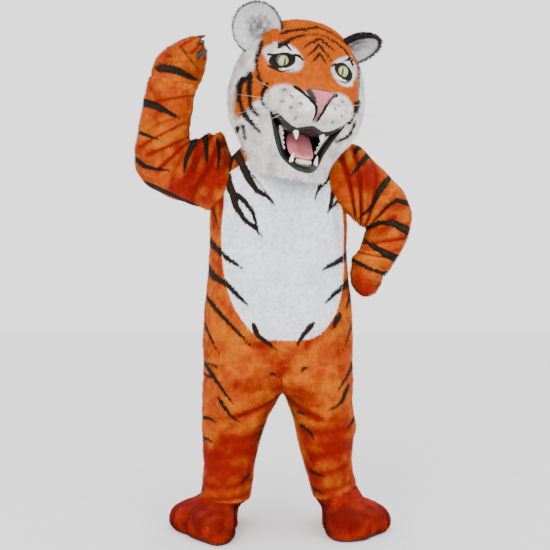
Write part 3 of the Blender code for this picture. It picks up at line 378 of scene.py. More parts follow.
def plush_material():
    """Short plush: its own colour, uneven in tufts, with the marks painted over it, and a soft sheen."""
    material, tree, shader = new_material("short_plush")
    coat, mark = (added(tree, "ShaderNodeAttribute", {}, attribute_name=name) for name in ("coat", "mark"))
    place = added(tree, "ShaderNodeTexCoord", {}).outputs["Object"]
    tufts, strands, ragged = (
        added(tree, "ShaderNodeTexNoise", {"Vector": place, "Scale": scale, "Detail": detail}).outputs["Fac"]
        for scale, detail in ((75.0, 3.0), (420.0, 2.0), (150.0, 1.0)))
    worn = added(tree, "ShaderNodeVectorMath", {
        0: coat.outputs["Color"], "Scale": ranged(tree, tufts, 0.3, 0.7, 0.80, 1.16)}, operation="SCALE")
    edge = added(tree, "ShaderNodeMath", {
        0: mark.outputs["Fac"], 1: ranged(tree, ragged, 0.25, 0.75, -1.2, 1.2)}).outputs[0]
    black = mixed(tree, ranged(tree, edge, 4.0, 13.0, 0.0, 1.0), (0.010, 0.008, 0.007, 1),
                  (0.034, 0.017, 0.008, 1))
    painted_coat = mixed(tree, ranged(tree, edge, -0.7, 0.9, 0.0, 1.0), worn.outputs["Vector"], black)
    bump = added(tree, "ShaderNodeBump", {"Strength": 0.5, "Distance": 0.002, "Height": strands})
    wired(tree, shader, {
        "Roughness": 0.9, "Specular IOR Level": 0.15, "Sheen Weight": 0.03, "Sheen Roughness": 0.45,
        "Sheen Tint": (1.0, 0.80, 0.62, 1.0), "Base Color": painted_coat, "Normal": bump.outputs["Normal"]})
    return material


def plain_material(name, colour, roughness, bump_scale, bump_depth, spread=0.12, coat=0.0):
    """A finish whose tone drifts a little over the piece, with a fine grain."""
    material, tree, shader = new_material(name)
    place = added(tree, "ShaderNodeTexCoord", {}).outputs["Object"]
    drift, grain = (added(tree, "ShaderNodeTexNoise", {"Vector": place, "Scale": scale}).outputs["Fac"]
                    for scale in (22.0, bump_scale))
    ramp = added(tree, "ShaderNodeValToRGB", {"Fac": drift})
    for element, position, share in zip(ramp.color_ramp.elements, (0.3, 0.7), (1 - spread, 1 + spread)):
        element.position = position
        element.color = (*(min(1.0, part * share) for part in colour), 1.0)
    bump = added(tree, "ShaderNodeBump", {"Strength": 0.5, "Distance": bump_depth, "Height": grain})
    wired(tree, shader, {"Roughness": roughness, "Coat Weight": coat, "Base Color": ramp.outputs["Color"],
                         "Normal": bump.outputs["Normal"]})
    return material


PLUSH_FINISH = plush_material()
BACKING = plain_material("knitted_backing", (0.30, 0.13, 0.06), 0.95, 900.0, 0.0006)


def pile_tree():
    """Pile that stands on a piece: leaf-like strands, laid along its nap and tilted off its surface."""
    tree = bpy.data.node_groups.new("plush_pile", "GeometryNodeTree")
    for name, kind in (("Geometry", "Geometry"), ("Strand", "Object"), ("Density", "Float"),
                       ("Length", "Float"), ("Width", "Float"), ("Lean", "Float"), ("Seed", "Int"),
                       ("Finish", "Material")):
        tree.interface.new_socket(name, in_out="INPUT", socket_type="NodeSocket" + kind)
    tree.interface.new_socket("Geometry", in_out="OUTPUT", socket_type="NodeSocketGeometry")
    given = tree.nodes.new("NodeGroupInput").outputs

    def read(name, kind):
        node = added(tree, "GeometryNodeInputNamedAttribute", {"Name": name}, data_type=kind)
        return node.outputs["Attribute"]

    def times(first, second):
        return added(tree, "ShaderNodeMath", {0: first, 1: second}, operation="MULTIPLY").outputs[0]

    def random_share(low, high, step):
        seed = added(tree, "ShaderNodeMath", {0: given["Seed"], 1: step}).outputs[0]
        node = added(tree, "FunctionNodeRandomValue", {2: low, 3: high, "Seed": seed}, data_type="FLOAT")
        return node.outputs[1]

    scatter = added(tree, "GeometryNodeDistributePointsOnFaces", {
        "Mesh": given["Geometry"], "Density": times(given["Density"], read("pile", "FLOAT")),
        "Seed": given["Seed"]})
    stray = added(tree, "FunctionNodeRandomValue", {0: (-0.45,) * 3, 1: (0.45,) * 3, "Seed": given["Seed"]},
                  data_type="FLOAT_VECTOR")
    way = added(tree, "ShaderNodeVectorMath", {0: read("nap", "FLOAT_VECTOR"), "Scale": given["Lean"]},
                operation="SCALE").outputs["Vector"]
    for other in (scatter.outputs["Normal"], stray.outputs[0]):
        way = added(tree, "ShaderNodeVectorMath", {0: way, 1: other}).outputs["Vector"]
    turn = added(tree, "FunctionNodeAlignRotationToVector", {"Vector": way}, axis="Z")
    flat = added(tree, "FunctionNodeAlignRotationToVector", {
        "Rotation": turn.outputs["Rotation"], "Vector": scatter.outputs["Normal"]}, axis="Y", pivot_axis="Z")
    width = times(given["Width"], random_share(0.7, 1.3, 11))
    length = times(times(given["Length"], read("pile_length", "FLOAT")), random_share(0.65, 1.25, 23))
    size = added(tree, "ShaderNodeCombineXYZ", {"X": width, "Y": length, "Z": length})
    strand = added(tree, "GeometryNodeObjectInfo", {"As Instance": True, "Object": given["Strand"]})
    placed = added(tree, "GeometryNodeInstanceOnPoints", {
        "Points": scatter.outputs["Points"], "Instance": strand.outputs["Geometry"],
        "Rotation": flat.outputs["Rotation"], "Scale": size.outputs["Vector"]})
    real = added(tree, "GeometryNodeRealizeInstances", {"Geometry": placed.outputs["Instances"]})
    finish = added(tree, "GeometryNodeSetMaterial", {
        "Geometry": real.outputs["Geometry"], "Material": given["Finish"]})
    added(tree, "NodeGroupOutput", {"Geometry": finish.outputs["Geometry"]})
    return tree


PILE_TREE = pile_tree()
# One strand, a unit long and wide: its root, its two sides at the middle, and its tip, bent over.
STRAND = linked("strand", bpy.data.meshes.new("strand"))
STRAND.data.from_pydata([(0, 0, 0), (-0.5, 0.10, 0.45), (0.5, 0.10, 0.45), (0, -0.04, 1.0)], [],
                        [(0, 2, 1), (1, 2, 3)])
STRAND.data.shade_smooth()
PILE_DENSITY, PILE_LENGTH, PILE_WIDTH, PILE_LEAN = 82000.0, 0.0082, 0.0029, 1.8


def dressed(obj, nodes, seed, density=PILE_DENSITY, length=PILE_LENGTH, width=PILE_WIDTH):
    """A plush piece in place of its CAD node: the cloth, and its pile as a piece of its own."""
    while len(obj.data.materials) < 2:
        obj.data.materials.append(None)
    obj.data.materials[0], obj.data.materials[1] = PLUSH_FINISH, BACKING
    pile = linked(obj.name + "_pile", obj.data.copy())
    modifier = pile.modifiers.new("pile", "NODES")
    modifier.node_group = PILE_TREE
    values = {"Strand": STRAND, "Density": density, "Length": length, "Width": width, "Lean": PILE_LEAN,
              "Seed": seed, "Finish": PLUSH_FINISH}
    for item in PILE_TREE.interface.items_tree:
        if item.in_out == "INPUT" and item.name in values:
            modifier[item.identifier] = values[item.name]
    applied(pile)
    for piece in (obj, pile):
        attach(piece, "root")
    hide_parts(*nodes)
    return pile


def torso_place(height):
    """The fractional row of TORSO at a height."""
    return np.interp(height, TORSO["height"], np.arange(len(TORSO["height"]), dtype=float))


def torso_point(place, angle):
    """A point of the suit body at a fractional row of TORSO and an angle from the front, to the left."""
    half_width, front, back, height = (along(TORSO[column], place)
                                       for column in ("half_width", "front", "back", "height"))
    sine, cosine = np.sin(angle + TORSO_TURN), np.cos(angle + TORSO_TURN)
    fullness = (np.abs(sine) ** ROUNDING + np.abs(cosine) ** ROUNDING) ** (-1 / ROUNDING)
    depth = np.where(cosine > 0, front, back)
    return np.stack((half_width * sine * fullness, -depth * cosine * fullness, height), -1) + LIFT


def seam_rows(first, last, count):
    """Seam heights and the belly edge's angle at evenly spaced fractional rows."""
    rows = np.linspace(first, last, count)
    seams = {}
    for name, column in BODY_SEAMS.items():
        straight = np.interp(rows, np.arange(len(column)), column)
        seams[name] = np.where(rows < BELLY_FIRST_ROW, straight, along(column, rows))
    half_width = along(TORSO["half_width"], torso_place(seams["edge_height"]))
    edge = np.arcsin(np.clip(seams["edge_width"] / half_width, 0, 0.98)) * 0.97
    return rows, seams, edge


def body_grid(part, side, first, last, count, columns):
    """Places and angles of one stretch of a body panel."""
    rows, seams, edge = seam_rows(first, last, count)
    gap = SEAM / 0.22
    if part == "belly":
        angle = np.linspace(-1, 1, columns + 1) * (edge[:, None] - gap / 2)
        return torso_place(seams["edge_height"])[:, None] + 0 * angle, angle
    share = np.linspace(0, 1, columns + 1)
    if part == "front":
        start, end, high = edge + gap / 2, math.pi / 2 - gap / 2, seams["side_height"]
        low = seams["edge_height"] - SEAM * 1.5 * (rows > 0)
    else:
        start, end = np.full(count, math.pi / 2 + gap / 2), math.pi - gap / 2
        low, high = seams["side_height"], seams["back_height"]
    angle = start[:, None] + (end - start)[:, None] * share
    return torso_place(low[:, None] + (high - low)[:, None] * share), angle * side


def body_skin(place, angle, inset=0.0):
    """The suit body's cloth, with its folds and soft unevenness, and its first row kept level."""
    points, normal = torso_point(place, angle), normals_of(torso_point, place, angle)
    depth = fold_depth(points, normal, BODY_FOLDS) + unevenness(points, 14.0, 0.003, 1.7)
    waist = np.clip((points[..., 2] + SHOULDER_HEIGHT - 0.62) / 0.03, 0, 1)
    return points - normal * (depth * waist + inset)[..., None]


def body_wall(name, place, angle):
    """One panel of the suit body."""
    inner = body_skin(place[::2, ::2], angle[::2, ::2], PLUSH)
    return joined_wall(name, body_skin(place, angle), inner, tube=False)


def body_core(clearance):
    """The suit body as one filled solid, for cutting what is sewn to it."""
    place, angle = grid_of(np.linspace(0, len(TORSO["height"]) - 1, CORE_ROWS),
                           np.linspace(-math.pi, math.pi, CORE_COLUMNS + 1)[:-1])
    return solid_grid("body_core", body_skin(place, angle, -clearance))


def body_coat(obj, white):
    """Paints a panel of the body: white with soft shade in its folds, or orange."""
    points, normal = mesh_points(obj)
    if white:
        shade = 1 - 0.07 * np.clip(0.5 + unevenness(points, 20.0, 1.6, 2.3), 0, 1)
        shade = shade - 0.12 * np.clip(fold_depth(points, normal, BODY_FOLDS) / 0.006, 0, 1)
        colour = BELLY_WHITE * shade[:, None]
    else:
        colour = orange_coat(points, normal, BODY_FOLDS, BODY_SHADE_SPOTS)
    under_flap = (np.abs(points[:, 0]) < FLAP_HALF_WIDTH) & (points[:, 1] > 0.05) & ("flap" not in obj.name)
    marks = mark_reach(points, normal, BODY_MARKS)
    return painted(obj, colour, marks, (0, 0, -1), np.where(under_flap, 0.0, 1.0))


PANELS = {}
for side in (RIGHT, LEFT):
    name = SIDE_NAMES[side]
    place, angle = body_grid("front", side, 0, FRONT_LAST_ROW, FRONT_ROWS, FRONT_COLUMNS)
    PANELS[f"front_{name}"] = body_wall(f"front_{name}_cloth", place, angle)
    # Above the front panel, inside the armhole, the back panel goes on over the shoulder to the belly.
    rows, seams, edge = seam_rows(0, BODY_LAST_ROW, BACK_ROWS)
    place, angle = body_grid("back", side, 0, BODY_LAST_ROW, BACK_ROWS, BACK_COLUMNS)
    opened = np.clip(rows - FRONT_LAST_ROW, 0, 1)[:, None]
    share = 1 - (1 - np.linspace(0, 1, FRONT_COLUMNS + 1)[:-1]) * opened
    start, end = edge[:, None] + SEAM / 0.44, math.pi / 2 + SEAM / 0.44
    strap_angle = (start + (end - start) * share) * side
    low, high = seams["edge_height"][:, None], seams["side_height"][:, None]
    strap_place = torso_place(low + (high - low) * share)
    place, angle = np.concatenate((strap_place, place), axis=1), np.concatenate((strap_angle, angle), axis=1)
    PANELS[f"back_{name}"] = body_wall(f"back_{name}_cloth", place, angle)
place, angle = body_grid("belly", LEFT, BELLY_FIRST_ROW, BODY_LAST_ROW, BELLY_ROWS, BELLY_COLUMNS)
PANELS["belly_panel"] = body_wall("belly_panel_cloth", place, angle)
CORE = body_core(SEAM)

FLAP_HALF_WIDTH, FLAP_THICKNESS, FLAP_LOW, FLAP_HIGH = 0.034, 0.002, 0.680, 1.322
FLAP_ROWS, FLAP_COLUMNS = 105, 13
flap_place, flap_angle = grid_of(torso_place(np.linspace(FLAP_LOW, FLAP_HIGH, FLAP_ROWS)),
                                 math.pi + np.linspace(-1, 1, FLAP_COLUMNS) * FLAP_HALF_WIDTH / 0.240)
flap = joined_wall("zip_flap_cloth", body_skin(flap_place, flap_angle, -SEAM * 1.5 - FLAP_THICKNESS),
                   body_skin(flap_place[::2, ::2], flap_angle[::2, ::2], -SEAM * 1.5), tube=False)
flap_pile = dressed(body_coat(flap, white=False), ("zip_flap",), 6, length=0.008)


# Each sleeve is one tube of the orange plush, sewn into an armhole and slipped over the paw glove's cuff.
# The right arm is held up and bent at the elbow, the left one down with its hand at the hip, and the
# cloth lies in soft troughs round both elbows and under the arms.

SLEEVE_COLUMNS = "outer_x outer_z inner_x inner_z middle_y half_depth"
SLEEVES = {
    RIGHT: table(SLEEVE_COLUMNS, """
        -192 1186 -138 1286 0 106; -246 1158 -176 1370 -3 122; -285 1168 -194 1426 -6 122;
        -335 1185 -234 1432 -10 114; -400 1210 -278 1412 -16 106; -462 1245 -306 1408 -24 102;
        -500 1290 -313 1420 -32 100; -508 1350 -314 1442 -40 98; -498 1410 -311 1468 -46 95;
        -485 1475 -304 1510 -52 91; -475 1530 -296 1555 -58 87; -466 1574 -288 1574 -62 84;
        -449 1628 -281 1594 -66 82
    """),
    LEFT: table(SLEEVE_COLUMNS, """
        138 1289 192 1186 0 106; 194 1350 245 1152 2 121; 238 1390 272 1128 6 118; 285 1390 290 1112 10 104;
        345 1335 303 1102 18 96; 405 1278 312 1096 28 90; 452 1225 318 1090 36 86; 480 1155 318 1078 36 84;
        476 1090 310 1056 26 82; 455 1030 298 1026 12 80; 427 985 286 1008 -2 78; 402 952 272 994 -14 75;
        382 926 264 974 -24 71
    """),
}
# Troughs round a tube: from one row and share of a turn to another, and their depth and width.
CREASE_COLUMNS = "from_row from_turn to_row to_turn depth width"
SLEEVE_CREASES = {
    RIGHT: table(CREASE_COLUMNS, """
        1.6 0.46 2.6 0.14 0.018 0.02; 2.7 0.52 3.4 0.16 0.016 0.018; 4.0 0.5 2.6 0.06 0.013 0.018;
        4.9 0.5 5.2 0.2 0.014 0.016; 5.8 0.5 6.6 0.18 0.012 0.016; 7.3 0.1 8.0 0.4 0.01 0.014;
        9.8 0.05 10.3 0.45 0.009 0.014; 5.2 0.52 5.0 0.86 0.013 0.018; 3.2 0.56 2.8 0.88 0.013 0.02;
        4.4 0.3 4.0 0.12 0.005 0.009; 8.8 0.44 8.4 0.2 0.005 0.009; 1.9 0.3 3.0 0.1 0.005 0.01;
        6.6 0.6 6.9 0.9 0.006 0.012; 8.8 0.58 9.2 0.88 0.006 0.011
    """, per_metre=1),
    LEFT: table(CREASE_COLUMNS, """
        1.5 0.1 2.2 0.42 0.016 0.02; 2.6 0.06 3.4 0.44 0.016 0.018; 4.2 0.12 4.8 0.46 0.015 0.018;
        5.8 0.24 5.6 0.5 0.015 0.016; 6.8 0.22 6.4 0.5 0.013 0.015; 8.4 0.06 8.6 0.5 0.011 0.014;
        9.9 0.04 10.0 0.48 0.01 0.014; 5.6 0.56 5.2 0.88 0.013 0.018; 3.0 0.58 2.6 0.9 0.013 0.02;
        3.4 0.1 4.0 0.3 0.005 0.009; 7.6 0.1 7.3 0.34 0.005 0.009; 9.2 0.12 9.4 0.36 0.005 0.009;
        7.4 0.6 7.2 0.9 0.006 0.012; 9.2 0.58 9.4 0.9 0.006 0.011
    """, per_metre=1),
}
SLEEVE_GIRTH, SLEEVE_STEP = 0.60, 0.075
SLEEVE_ROWS, ARMHOLE_ROWS, SLEEVE_TURNS = 129, 33, 88
SLEEVE_MARKS = strokes("front", """
    25 -262 30 -250 -20 -249 -75; 15 -215 10 -205 -40 -212 -110
""") + strokes("round", """
    35 -500 136 -463 134 -417 119 -345 82; 15 -510 30 -481 30 -446 17 -392 0;
    20 -512 -52 -499 -61 -465 -87 -421 -97 -370 -101; 22 -480 -142 -440 -158 -366 -190 -270 -236;
    25 -290 10 -320 -60 -330 -110; 27 400 -120 384 -137 354 -176 330 -228 284 -268;
    22 490 -222 466 -216 422 -203 389 -224 345 -268; 35 496 -330 473 -318 411 -284 363 -283 320 -306;
    35 450 -428 422 -412 372 -386 330 -362 306 -340; 35 410 -476 374 -470 328 -452 285 -425 260 -412;
    25 330 -35 306 -56 277 -89 252 -118; 20 300 -10 280 -24 261 -56
""") + strokes("back", """
    25 -330 20 -370 -70 -360 -130
""")
# Patches of painted shade on the sleeves, darkened to deep red: middle, reach and strength, seen from the
# front.
SLEEVE_SHADE_SPOTS = rows_of("""
    -0.23 -0.06 0.1 0.8; -0.24 -0.16 0.08 0.6; -0.43 0.2 0.07 0.3; -0.33 -0.19 0.06 0.9;
    -0.26 -0.12 0.06 0.6; -0.46 -0.11 0.05 0.5; 0.3 -0.13 0.06 0.9; 0.35 -0.31 0.05 0.7; 0.33 -0.06 0.05 0.4
""", per_metre=1)


def cut(obj, cutter, operation="DIFFERENCE"):
    """The object with another cut out of it."""
    boolean = obj.modifiers.new("cut", "BOOLEAN")
    boolean.operation, boolean.object = operation, cutter
    return applied(obj)


def crease_depth(creases, place, turn, step, girth):
    """How deep the creases press a tube at a row and share of a turn."""
    depth = np.zeros(np.broadcast(place, turn).shape)
    for i in range(len(creases["depth"])):
        start = np.array((creases["from_row"][i] * step, creases["from_turn"][i] * girth))
        run = np.array((creases["to_row"][i] * step, creases["to_turn"][i] * girth)) - start
        near = np.full(depth.shape, 1.0)
        for whole_turn in (-1, 0, 1):
            away = np.stack((place * step - start[0], (turn + whole_turn) * girth - start[1]), -1)
            share = np.clip((away @ run) / (run @ run), 0, 1)
            near = np.minimum(near, np.linalg.norm(away - share[..., None] * run, axis=-1))
        depth += creases["depth"][i] * np.exp(-((near / creases["width"][i]) ** 2))
    return depth


def pressed(middle, reach, depth):
    """Points round a middle, drawn in towards it by a depth."""
    size = np.linalg.norm(reach, axis=-1, keepdims=True)
    return middle + reach * (1 - depth[..., None] / np.maximum(size, 1e-6))


def moved(surface, place, turn, distance):
    """Points of a surface moved along its normal."""
    return surface(place, turn) + normals_of(surface, place, turn) * np.asarray(distance)[..., None]


def turns(count):
    """Even shares of a turn."""
    return np.arange(count) / count


def tube_surface(side, rows, creases):
    """The surface of a sleeve or glove, by row and share of a turn."""
    def point(place, turn):
        outer_x, outer_z, inner_x, inner_z, middle_y, half_depth = (
            along(rows[c], place) for c in SLEEVE_COLUMNS.split())
        angle = 2 * math.pi * turn
        across = np.cos(angle) / 2
        reach = np.stack(((outer_x - inner_x) * across, -half_depth * np.sin(angle),
                          (outer_z - inner_z) * across), -1)
        centre = np.stack(((outer_x + inner_x) / 2, middle_y, (outer_z + inner_z) / 2), -1)
        depth = crease_depth(creases, place, turn, SLEEVE_STEP, SLEEVE_GIRTH)
        soft = 0.0024 * np.sin(place * 3.1 + 2 * np.sin(angle) + side) * np.cos(angle * 2 + place * 1.7)
        return pressed(centre, reach, depth + soft) + LIFT

    return point


def nearest_value(obj, points, values):
    """For each point of a mesh, the value that belongs to the nearest of some points."""
    tree = KDTree(points.size // 3)
    for i, point in enumerate(points.reshape(-1, 3).tolist()):
        tree.insert(point, i)
    tree.balance()
    flat = np.asarray(values).reshape(-1)
    return flat[[tree.find(vertex.co)[1] for vertex in obj.data.vertices]]


def tube_coat(obj, outer, pressed_in, marks, shade_spots, pile, nap, seed, colour=None):
    """Paints a tube of orange plush: its marks, and painted shade in deep red down its creases."""
    points, normal = mesh_points(obj)
    if colour is None:
        colour = orange_coat(points, normal, (), shade_spots, seed)
        # Painted shade: the deeper a crease presses in, the more its plush is darkened to deep red.
        colour = blended(colour, FOLD_SHADE_RED, nearest_value(obj, outer, pressed_in) / 0.010)
    return painted(obj, colour, mark_reach(points, normal, marks), nap, nearest_value(obj, outer, pile))


SLEEVE_SURFACES = {side: tube_surface(side, SLEEVES[side], SLEEVE_CREASES[side]) for side in SLEEVES}
for side, surface in SLEEVE_SURFACES.items():
    name, last = SIDE_NAMES[side], len(SLEEVES[side]["middle_y"]) - 1
    place, turn = grid_of(np.linspace(0, last, SLEEVE_ROWS), turns(SLEEVE_TURNS))
    sleeve = joined_wall(f"sleeve_{name}_cloth", surface(place, turn),
                         moved(surface, place[::2, ::2], turn[::2, ::2], -PLUSH), tube=True)
    cut(sleeve, CORE)
    armhole_grid = grid_of(np.linspace(0, 3, ARMHOLE_ROWS), turns(SLEEVE_TURNS))
    armhole = solid_grid("armhole", moved(surface, *armhole_grid, -PLUSH - SEAM))
    for panel in (f"front_{name}", f"back_{name}", "belly_panel"):
        cut(PANELS[panel], armhole)
    bpy.data.objects.remove(armhole)
    creases = crease_depth(SLEEVE_CREASES[side], place, turn, SLEEVE_STEP, SLEEVE_GIRTH)
    nap = (-0.25, 0, 1) if side == RIGHT else (0.1, 0, -1)
    tube_coat(sleeve, surface(place, turn), creases, SLEEVE_MARKS, SLEEVE_SHADE_SPOTS, np.ones(place.shape), nap,
              side)
    pile = dressed(sleeve, (f"sleeve_{name}",), 10 + side)

for i, (name, panel) in enumerate(PANELS.items()):
    white = name == "belly_panel"
    body_coat(panel, white)
    pile = dressed(panel, (name,), 20 + i)


# The trouser legs are two more tubes of the orange plush, sewn to the body round the hips and to each
# other at the crotch. They hang over the boots' shafts and crease at the knees.

LEG_COLUMNS = "height outer inner front back rise"
LEGS = {
    RIGHT: table(LEG_COLUMNS, """
        619.7 268 -268 185 180 0; 575 270 -130 180 172 0; 535 272 -60 170 160 0; 498 273 -15 158 150 0;
        455 275 12 146 142 0; 405 277 38 134 134 0; 323 274 66 122 124 0; 240 270 86 112 116 0;
        170 276 94 108 112 3; 112 283 104 110 110 6
    """),
    LEFT: table(LEG_COLUMNS, """
        619.7 268 -268 185 180 0; 575 270 -110 180 172 0; 535 270 -30 170 160 0; 498 270 16 158 150 0;
        440 272 44 144 142 0; 380 282 62 134 134 0; 310 273 76 122 124 0; 240 270 96 114 116 4;
        185 275 114 108 112 12; 135 284 132 106 108 24
    """),
}
CROTCH_X = 0.015
LEG_CREASES = {
    RIGHT: table(CREASE_COLUMNS, """
        3.0 0.02 4.4 0.24 0.012 0.02; 5.6 0.05 5.9 0.3 0.01 0.018; 6.7 0.36 6.2 0.08 0.01 0.018;
        7.8 0.08 8.2 0.42 0.009 0.015; 8.5 0.06 8.9 0.36 0.009 0.014; 6.1 0.62 6.5 0.92 0.012 0.02;
        7.9 0.6 8.1 0.94 0.01 0.016; 4.4 0.2 5.0 0.44 0.004 0.012; 6.9 0.16 7.3 0.4 0.004 0.01;
        3.4 0.66 4.2 0.9 0.006 0.018
    """, per_metre=1),
    LEFT: table(CREASE_COLUMNS, """
        3.0 0.02 4.2 0.22 0.012 0.02; 5.2 0.1 5.0 0.4 0.01 0.018; 6.5 0.12 6.0 0.46 0.013 0.018;
        7.5 0.06 7.1 0.4 0.01 0.016; 8.5 0.06 8.4 0.4 0.009 0.014; 6.1 0.6 6.4 0.92 0.012 0.02;
        7.9 0.6 8.1 0.94 0.01 0.016; 4.2 0.16 4.6 0.44 0.004 0.012; 5.8 0.14 5.6 0.4 0.004 0.01;
        3.4 0.66 4.2 0.9 0.006 0.018
    """, per_metre=1),
}
LEG_GIRTH, LEG_STEP = 0.70, 0.060
LEG_ROWS, LEG_COLUMNS_ROUND = 81, 105
LEG_MARKS = strokes("round", """
    20 -290 -760 -266 -780 -227 -824 -190 -874 -148 -928; 14 -290 -826 -269 -825 -215 -832;
    17 -212 -898 -181 -944 -159 -973 -120 -994; 17 -290 -994 -276 -990 -248 -980 -210 -998;
    18 -290 -1074 -274 -1065 -252 -1059 -224 -1071; 15 -40 -1008 -56 -1014 -78 -1021;
    15 -55 -1036 -66 -1060 -82 -1082; 15 -104 -1190 -118 -1204 -140 -1226; 13 -30 -800 -10 -809 8 -818;
    14 -290 -1240 -278 -1248 -262 -1267; 15 -252 -778 -234 -780 -208 -796; 14 100 -778 88 -789 76 -800;
    18 290 -766 264 -796 240 -831 206 -876; 20 250 -860 227 -913 203 -932 170 -946;
    13 70 -956 88 -961 106 -966; 18 82 -1006 114 -1026 130 -1056; 17 285 -984 269 -999 242 -1024;
    14 292 -1048 277 -1062 258 -1078; 15 114 -1178 140 -1187 172 -1195; 15 130 -1246 150 -1255 168 -1262;
    13 44 -962 56 -972 68 -983
""") + strokes("back", """
    18 -290 -900 -210 -930 -130 -935; 18 290 -905 210 -935 120 -930; 16 -290 -1130 -200 -1150 -130 -1150;
    16 290 -1130 210 -1150 140 -1155
""")
# Patches of painted shade on the trouser legs, darkened to deep red: middle, reach and strength, seen from
# the front.
LEG_SHADE_SPOTS = rows_of("""
    -0.18 -1.16 0.13 1.0; 0.2 -1.17 0.12 0.9; 0.23 -1.06 0.045 1.0; 0.19 -1.085 0.04 0.8;
    -0.06 -0.85 0.04 0.8; 0.08 -0.86 0.04 0.8; -0.23 -1.15 0.05 0.5; -0.13 -1.06 0.04 0.4;
    -0.02 -0.8 0.05 0.8; 0.01 -0.76 0.06 0.7
""", per_metre=1)


def leg_surface(side):
    """The surface of a trouser leg, by row and share of a turn from its inseam."""
    rows = LEGS[side]

    def point(place, turn):
        height, outer, inner, front, back, rise = (along(rows[c], place) for c in LEG_COLUMNS.split())
        middle, half = (outer + inner) / 2, (outer - inner) / 2
        first = np.arccos(np.clip((middle - side * CROTCH_X - SEAM / 2) / half, -1, 1 - 1e-6))
        angle = first + (2 * math.pi - 2 * first) * turn
        depth = np.where(np.sin(angle) > 0, front, back)
        power = ROUNDING - (ROUNDING - 2) * np.clip(place / 3, 0, 1)
        across = np.cos(angle)
        ahead = np.sign(np.sin(angle)) * (1 - np.abs(across) ** power) ** (1 / power)
        reach = np.stack((-side * half * across, -depth * ahead, -rise * across), -1)
        centre = np.stack((side * middle, 0 * middle, height), -1)
        inseam = np.clip(np.minimum(turn, 1 - turn) / 0.06, 0, 1)
        soft = 0.0024 * np.sin(place * 3.7 + 2 * np.sin(angle) + side) * np.cos(angle * 2 + place * 1.9)
        creased = crease_depth(LEG_CREASES[side], place, turn, LEG_STEP, LEG_GIRTH)
        return pressed(centre, reach, (creased + soft * np.clip(place, 0, 1)) * inseam) + LIFT

    return point


LEG_SURFACES = {side: leg_surface(side) for side in LEGS}
for side, surface in LEG_SURFACES.items():
    name, last = SIDE_NAMES[side], len(LEGS[side]["height"]) - 1
    place, turn = grid_of(np.linspace(0, last, LEG_ROWS), np.linspace(0, 1, LEG_COLUMNS_ROUND))
    outer = surface(place, turn)
    inner = moved(surface, place[::2, ::2], turn[::2, ::2], side * PLUSH)
    inner[0, :, 2] = outer[0, 0, 2]
    leg = joined_wall(f"leg_{name}_cloth", outer, inner, tube=False)
    creases = crease_depth(LEG_CREASES[side], place, turn, LEG_STEP, LEG_GIRTH)
    tube_coat(leg, outer, creases, LEG_MARKS, LEG_SHADE_SPOTS, np.ones(place.shape), (0, 0, -1), 4 + side)
    pile = dressed(leg, (f"leg_{name}",), 30 + side)


# The paw gloves are plush mitts with a thumb and curled fingers marked by soft grooves, and claws moulded
# in black rubber glued between the fingers. Each glove's cuff slips up inside its sleeve.

GLOVES = {
    RIGHT: table(SLEEVE_COLUMNS, """
        -442 1650 -272 1612 -68 78; -428 1686 -262 1640 -71 80; -402 1714 -254 1670 -75 78;
        -366 1736 -251 1697 -80 73; -330 1751 -255 1720 -86 64; -301 1760 -262 1738 -91 48;
        -279 1755 -273 1751 -94 6
    """),
    LEFT: table(SLEEVE_COLUMNS, """
        374 908 262 952 -27 68; 364 886 262 926 -28 66; 350 868 266 902 -26 60; 332 857 276 882 -22 50;
        314 853 289 867 -18 34; 303 856 299 859 -14 5
    """),
}
GLOVE_CREASES = {
    RIGHT: table(CREASE_COLUMNS, """
        2.6 0.3 5.8 0.36 0.009 0.01; 2.9 0.17 5.8 0.2 0.008 0.01; 2.4 0.43 5.8 0.46 0.008 0.01;
        2.2 0.72 5.8 0.66 0.008 0.012; 0.4 0.08 1.6 0.3 0.004 0.008
    """, per_metre=1),
    LEFT: table(CREASE_COLUMNS, """
        2.0 0.14 4.8 0.12 0.008 0.01; 2.0 0.3 4.8 0.3 0.008 0.01; 2.0 0.62 4.8 0.66 0.008 0.012;
        0.3 0.1 0.9 0.36 0.004 0.008
    """, per_metre=1),
}
GLOVE_MARKS = strokes("front", """
    9 -336 322 -322 304 -304 280 -272 236; 7 -392 300 -370 290 -350 292; 8 372 -500 350 -505 322 -500
""") + strokes("round", """
    34 -420 252 -380 249 -345 241 -315 226 -272 208
""")
# Rows of the sleeve that the cuff lies in, and how finely the cuff and the paw are divided.
CUFF_FROM, CUFF_TO, CUFF_ROWS, PAW_ROWS, GLOVE_STEP, GLOVE_GIRTH = 11.4, 12, 6, 35, 0.040, 0.45
# Patches of painted shade on the gloves, darkened to deep red: middle, reach and strength, seen from the
# front.
GLOVE_SHADE_SPOTS = rows_of("""
    -0.33 0.236 0.03 0.4; 0.3 -0.5 0.06 1.0
""", per_metre=1)
CLAW_COLUMNS = "root_x root_y root_z tip_x tip_y tip_z radius"
CLAWS = {
    RIGHT: table(CLAW_COLUMNS, """
        -300 -112 1733 -250 -150 1738 12; -282 -132 1690 -240 -162 1712 12; -306 -78 1745 -250 -72 1771 12;
        -306 -52 1735 -256 -24 1757 12
    """),
    LEFT: table(CLAW_COLUMNS, """
        335 4 884 340 46 862 10; 316 8 880 318 50 856 10; 298 4 884 297 46 866 10; 352 -8 895 366 32 876 10
    """),
}
HORN_SIDES, HORN_RINGS = 18, 15
HORN_TAPER = ((0.0, 0.35, 0.65, 0.88, 1.0), (1.0, 0.88, 0.62, 0.30, 0.0))
BLACK_RUBBER = plain_material("black_rubber", (0.005, 0.005, 0.006), 0.38, 260.0, 0.0004, coat=0.1)


def to_pole(points):
    """A ring drawn together to the one point in its middle."""
    return np.repeat(points.mean(axis=0, keepdims=True), len(points), axis=0)


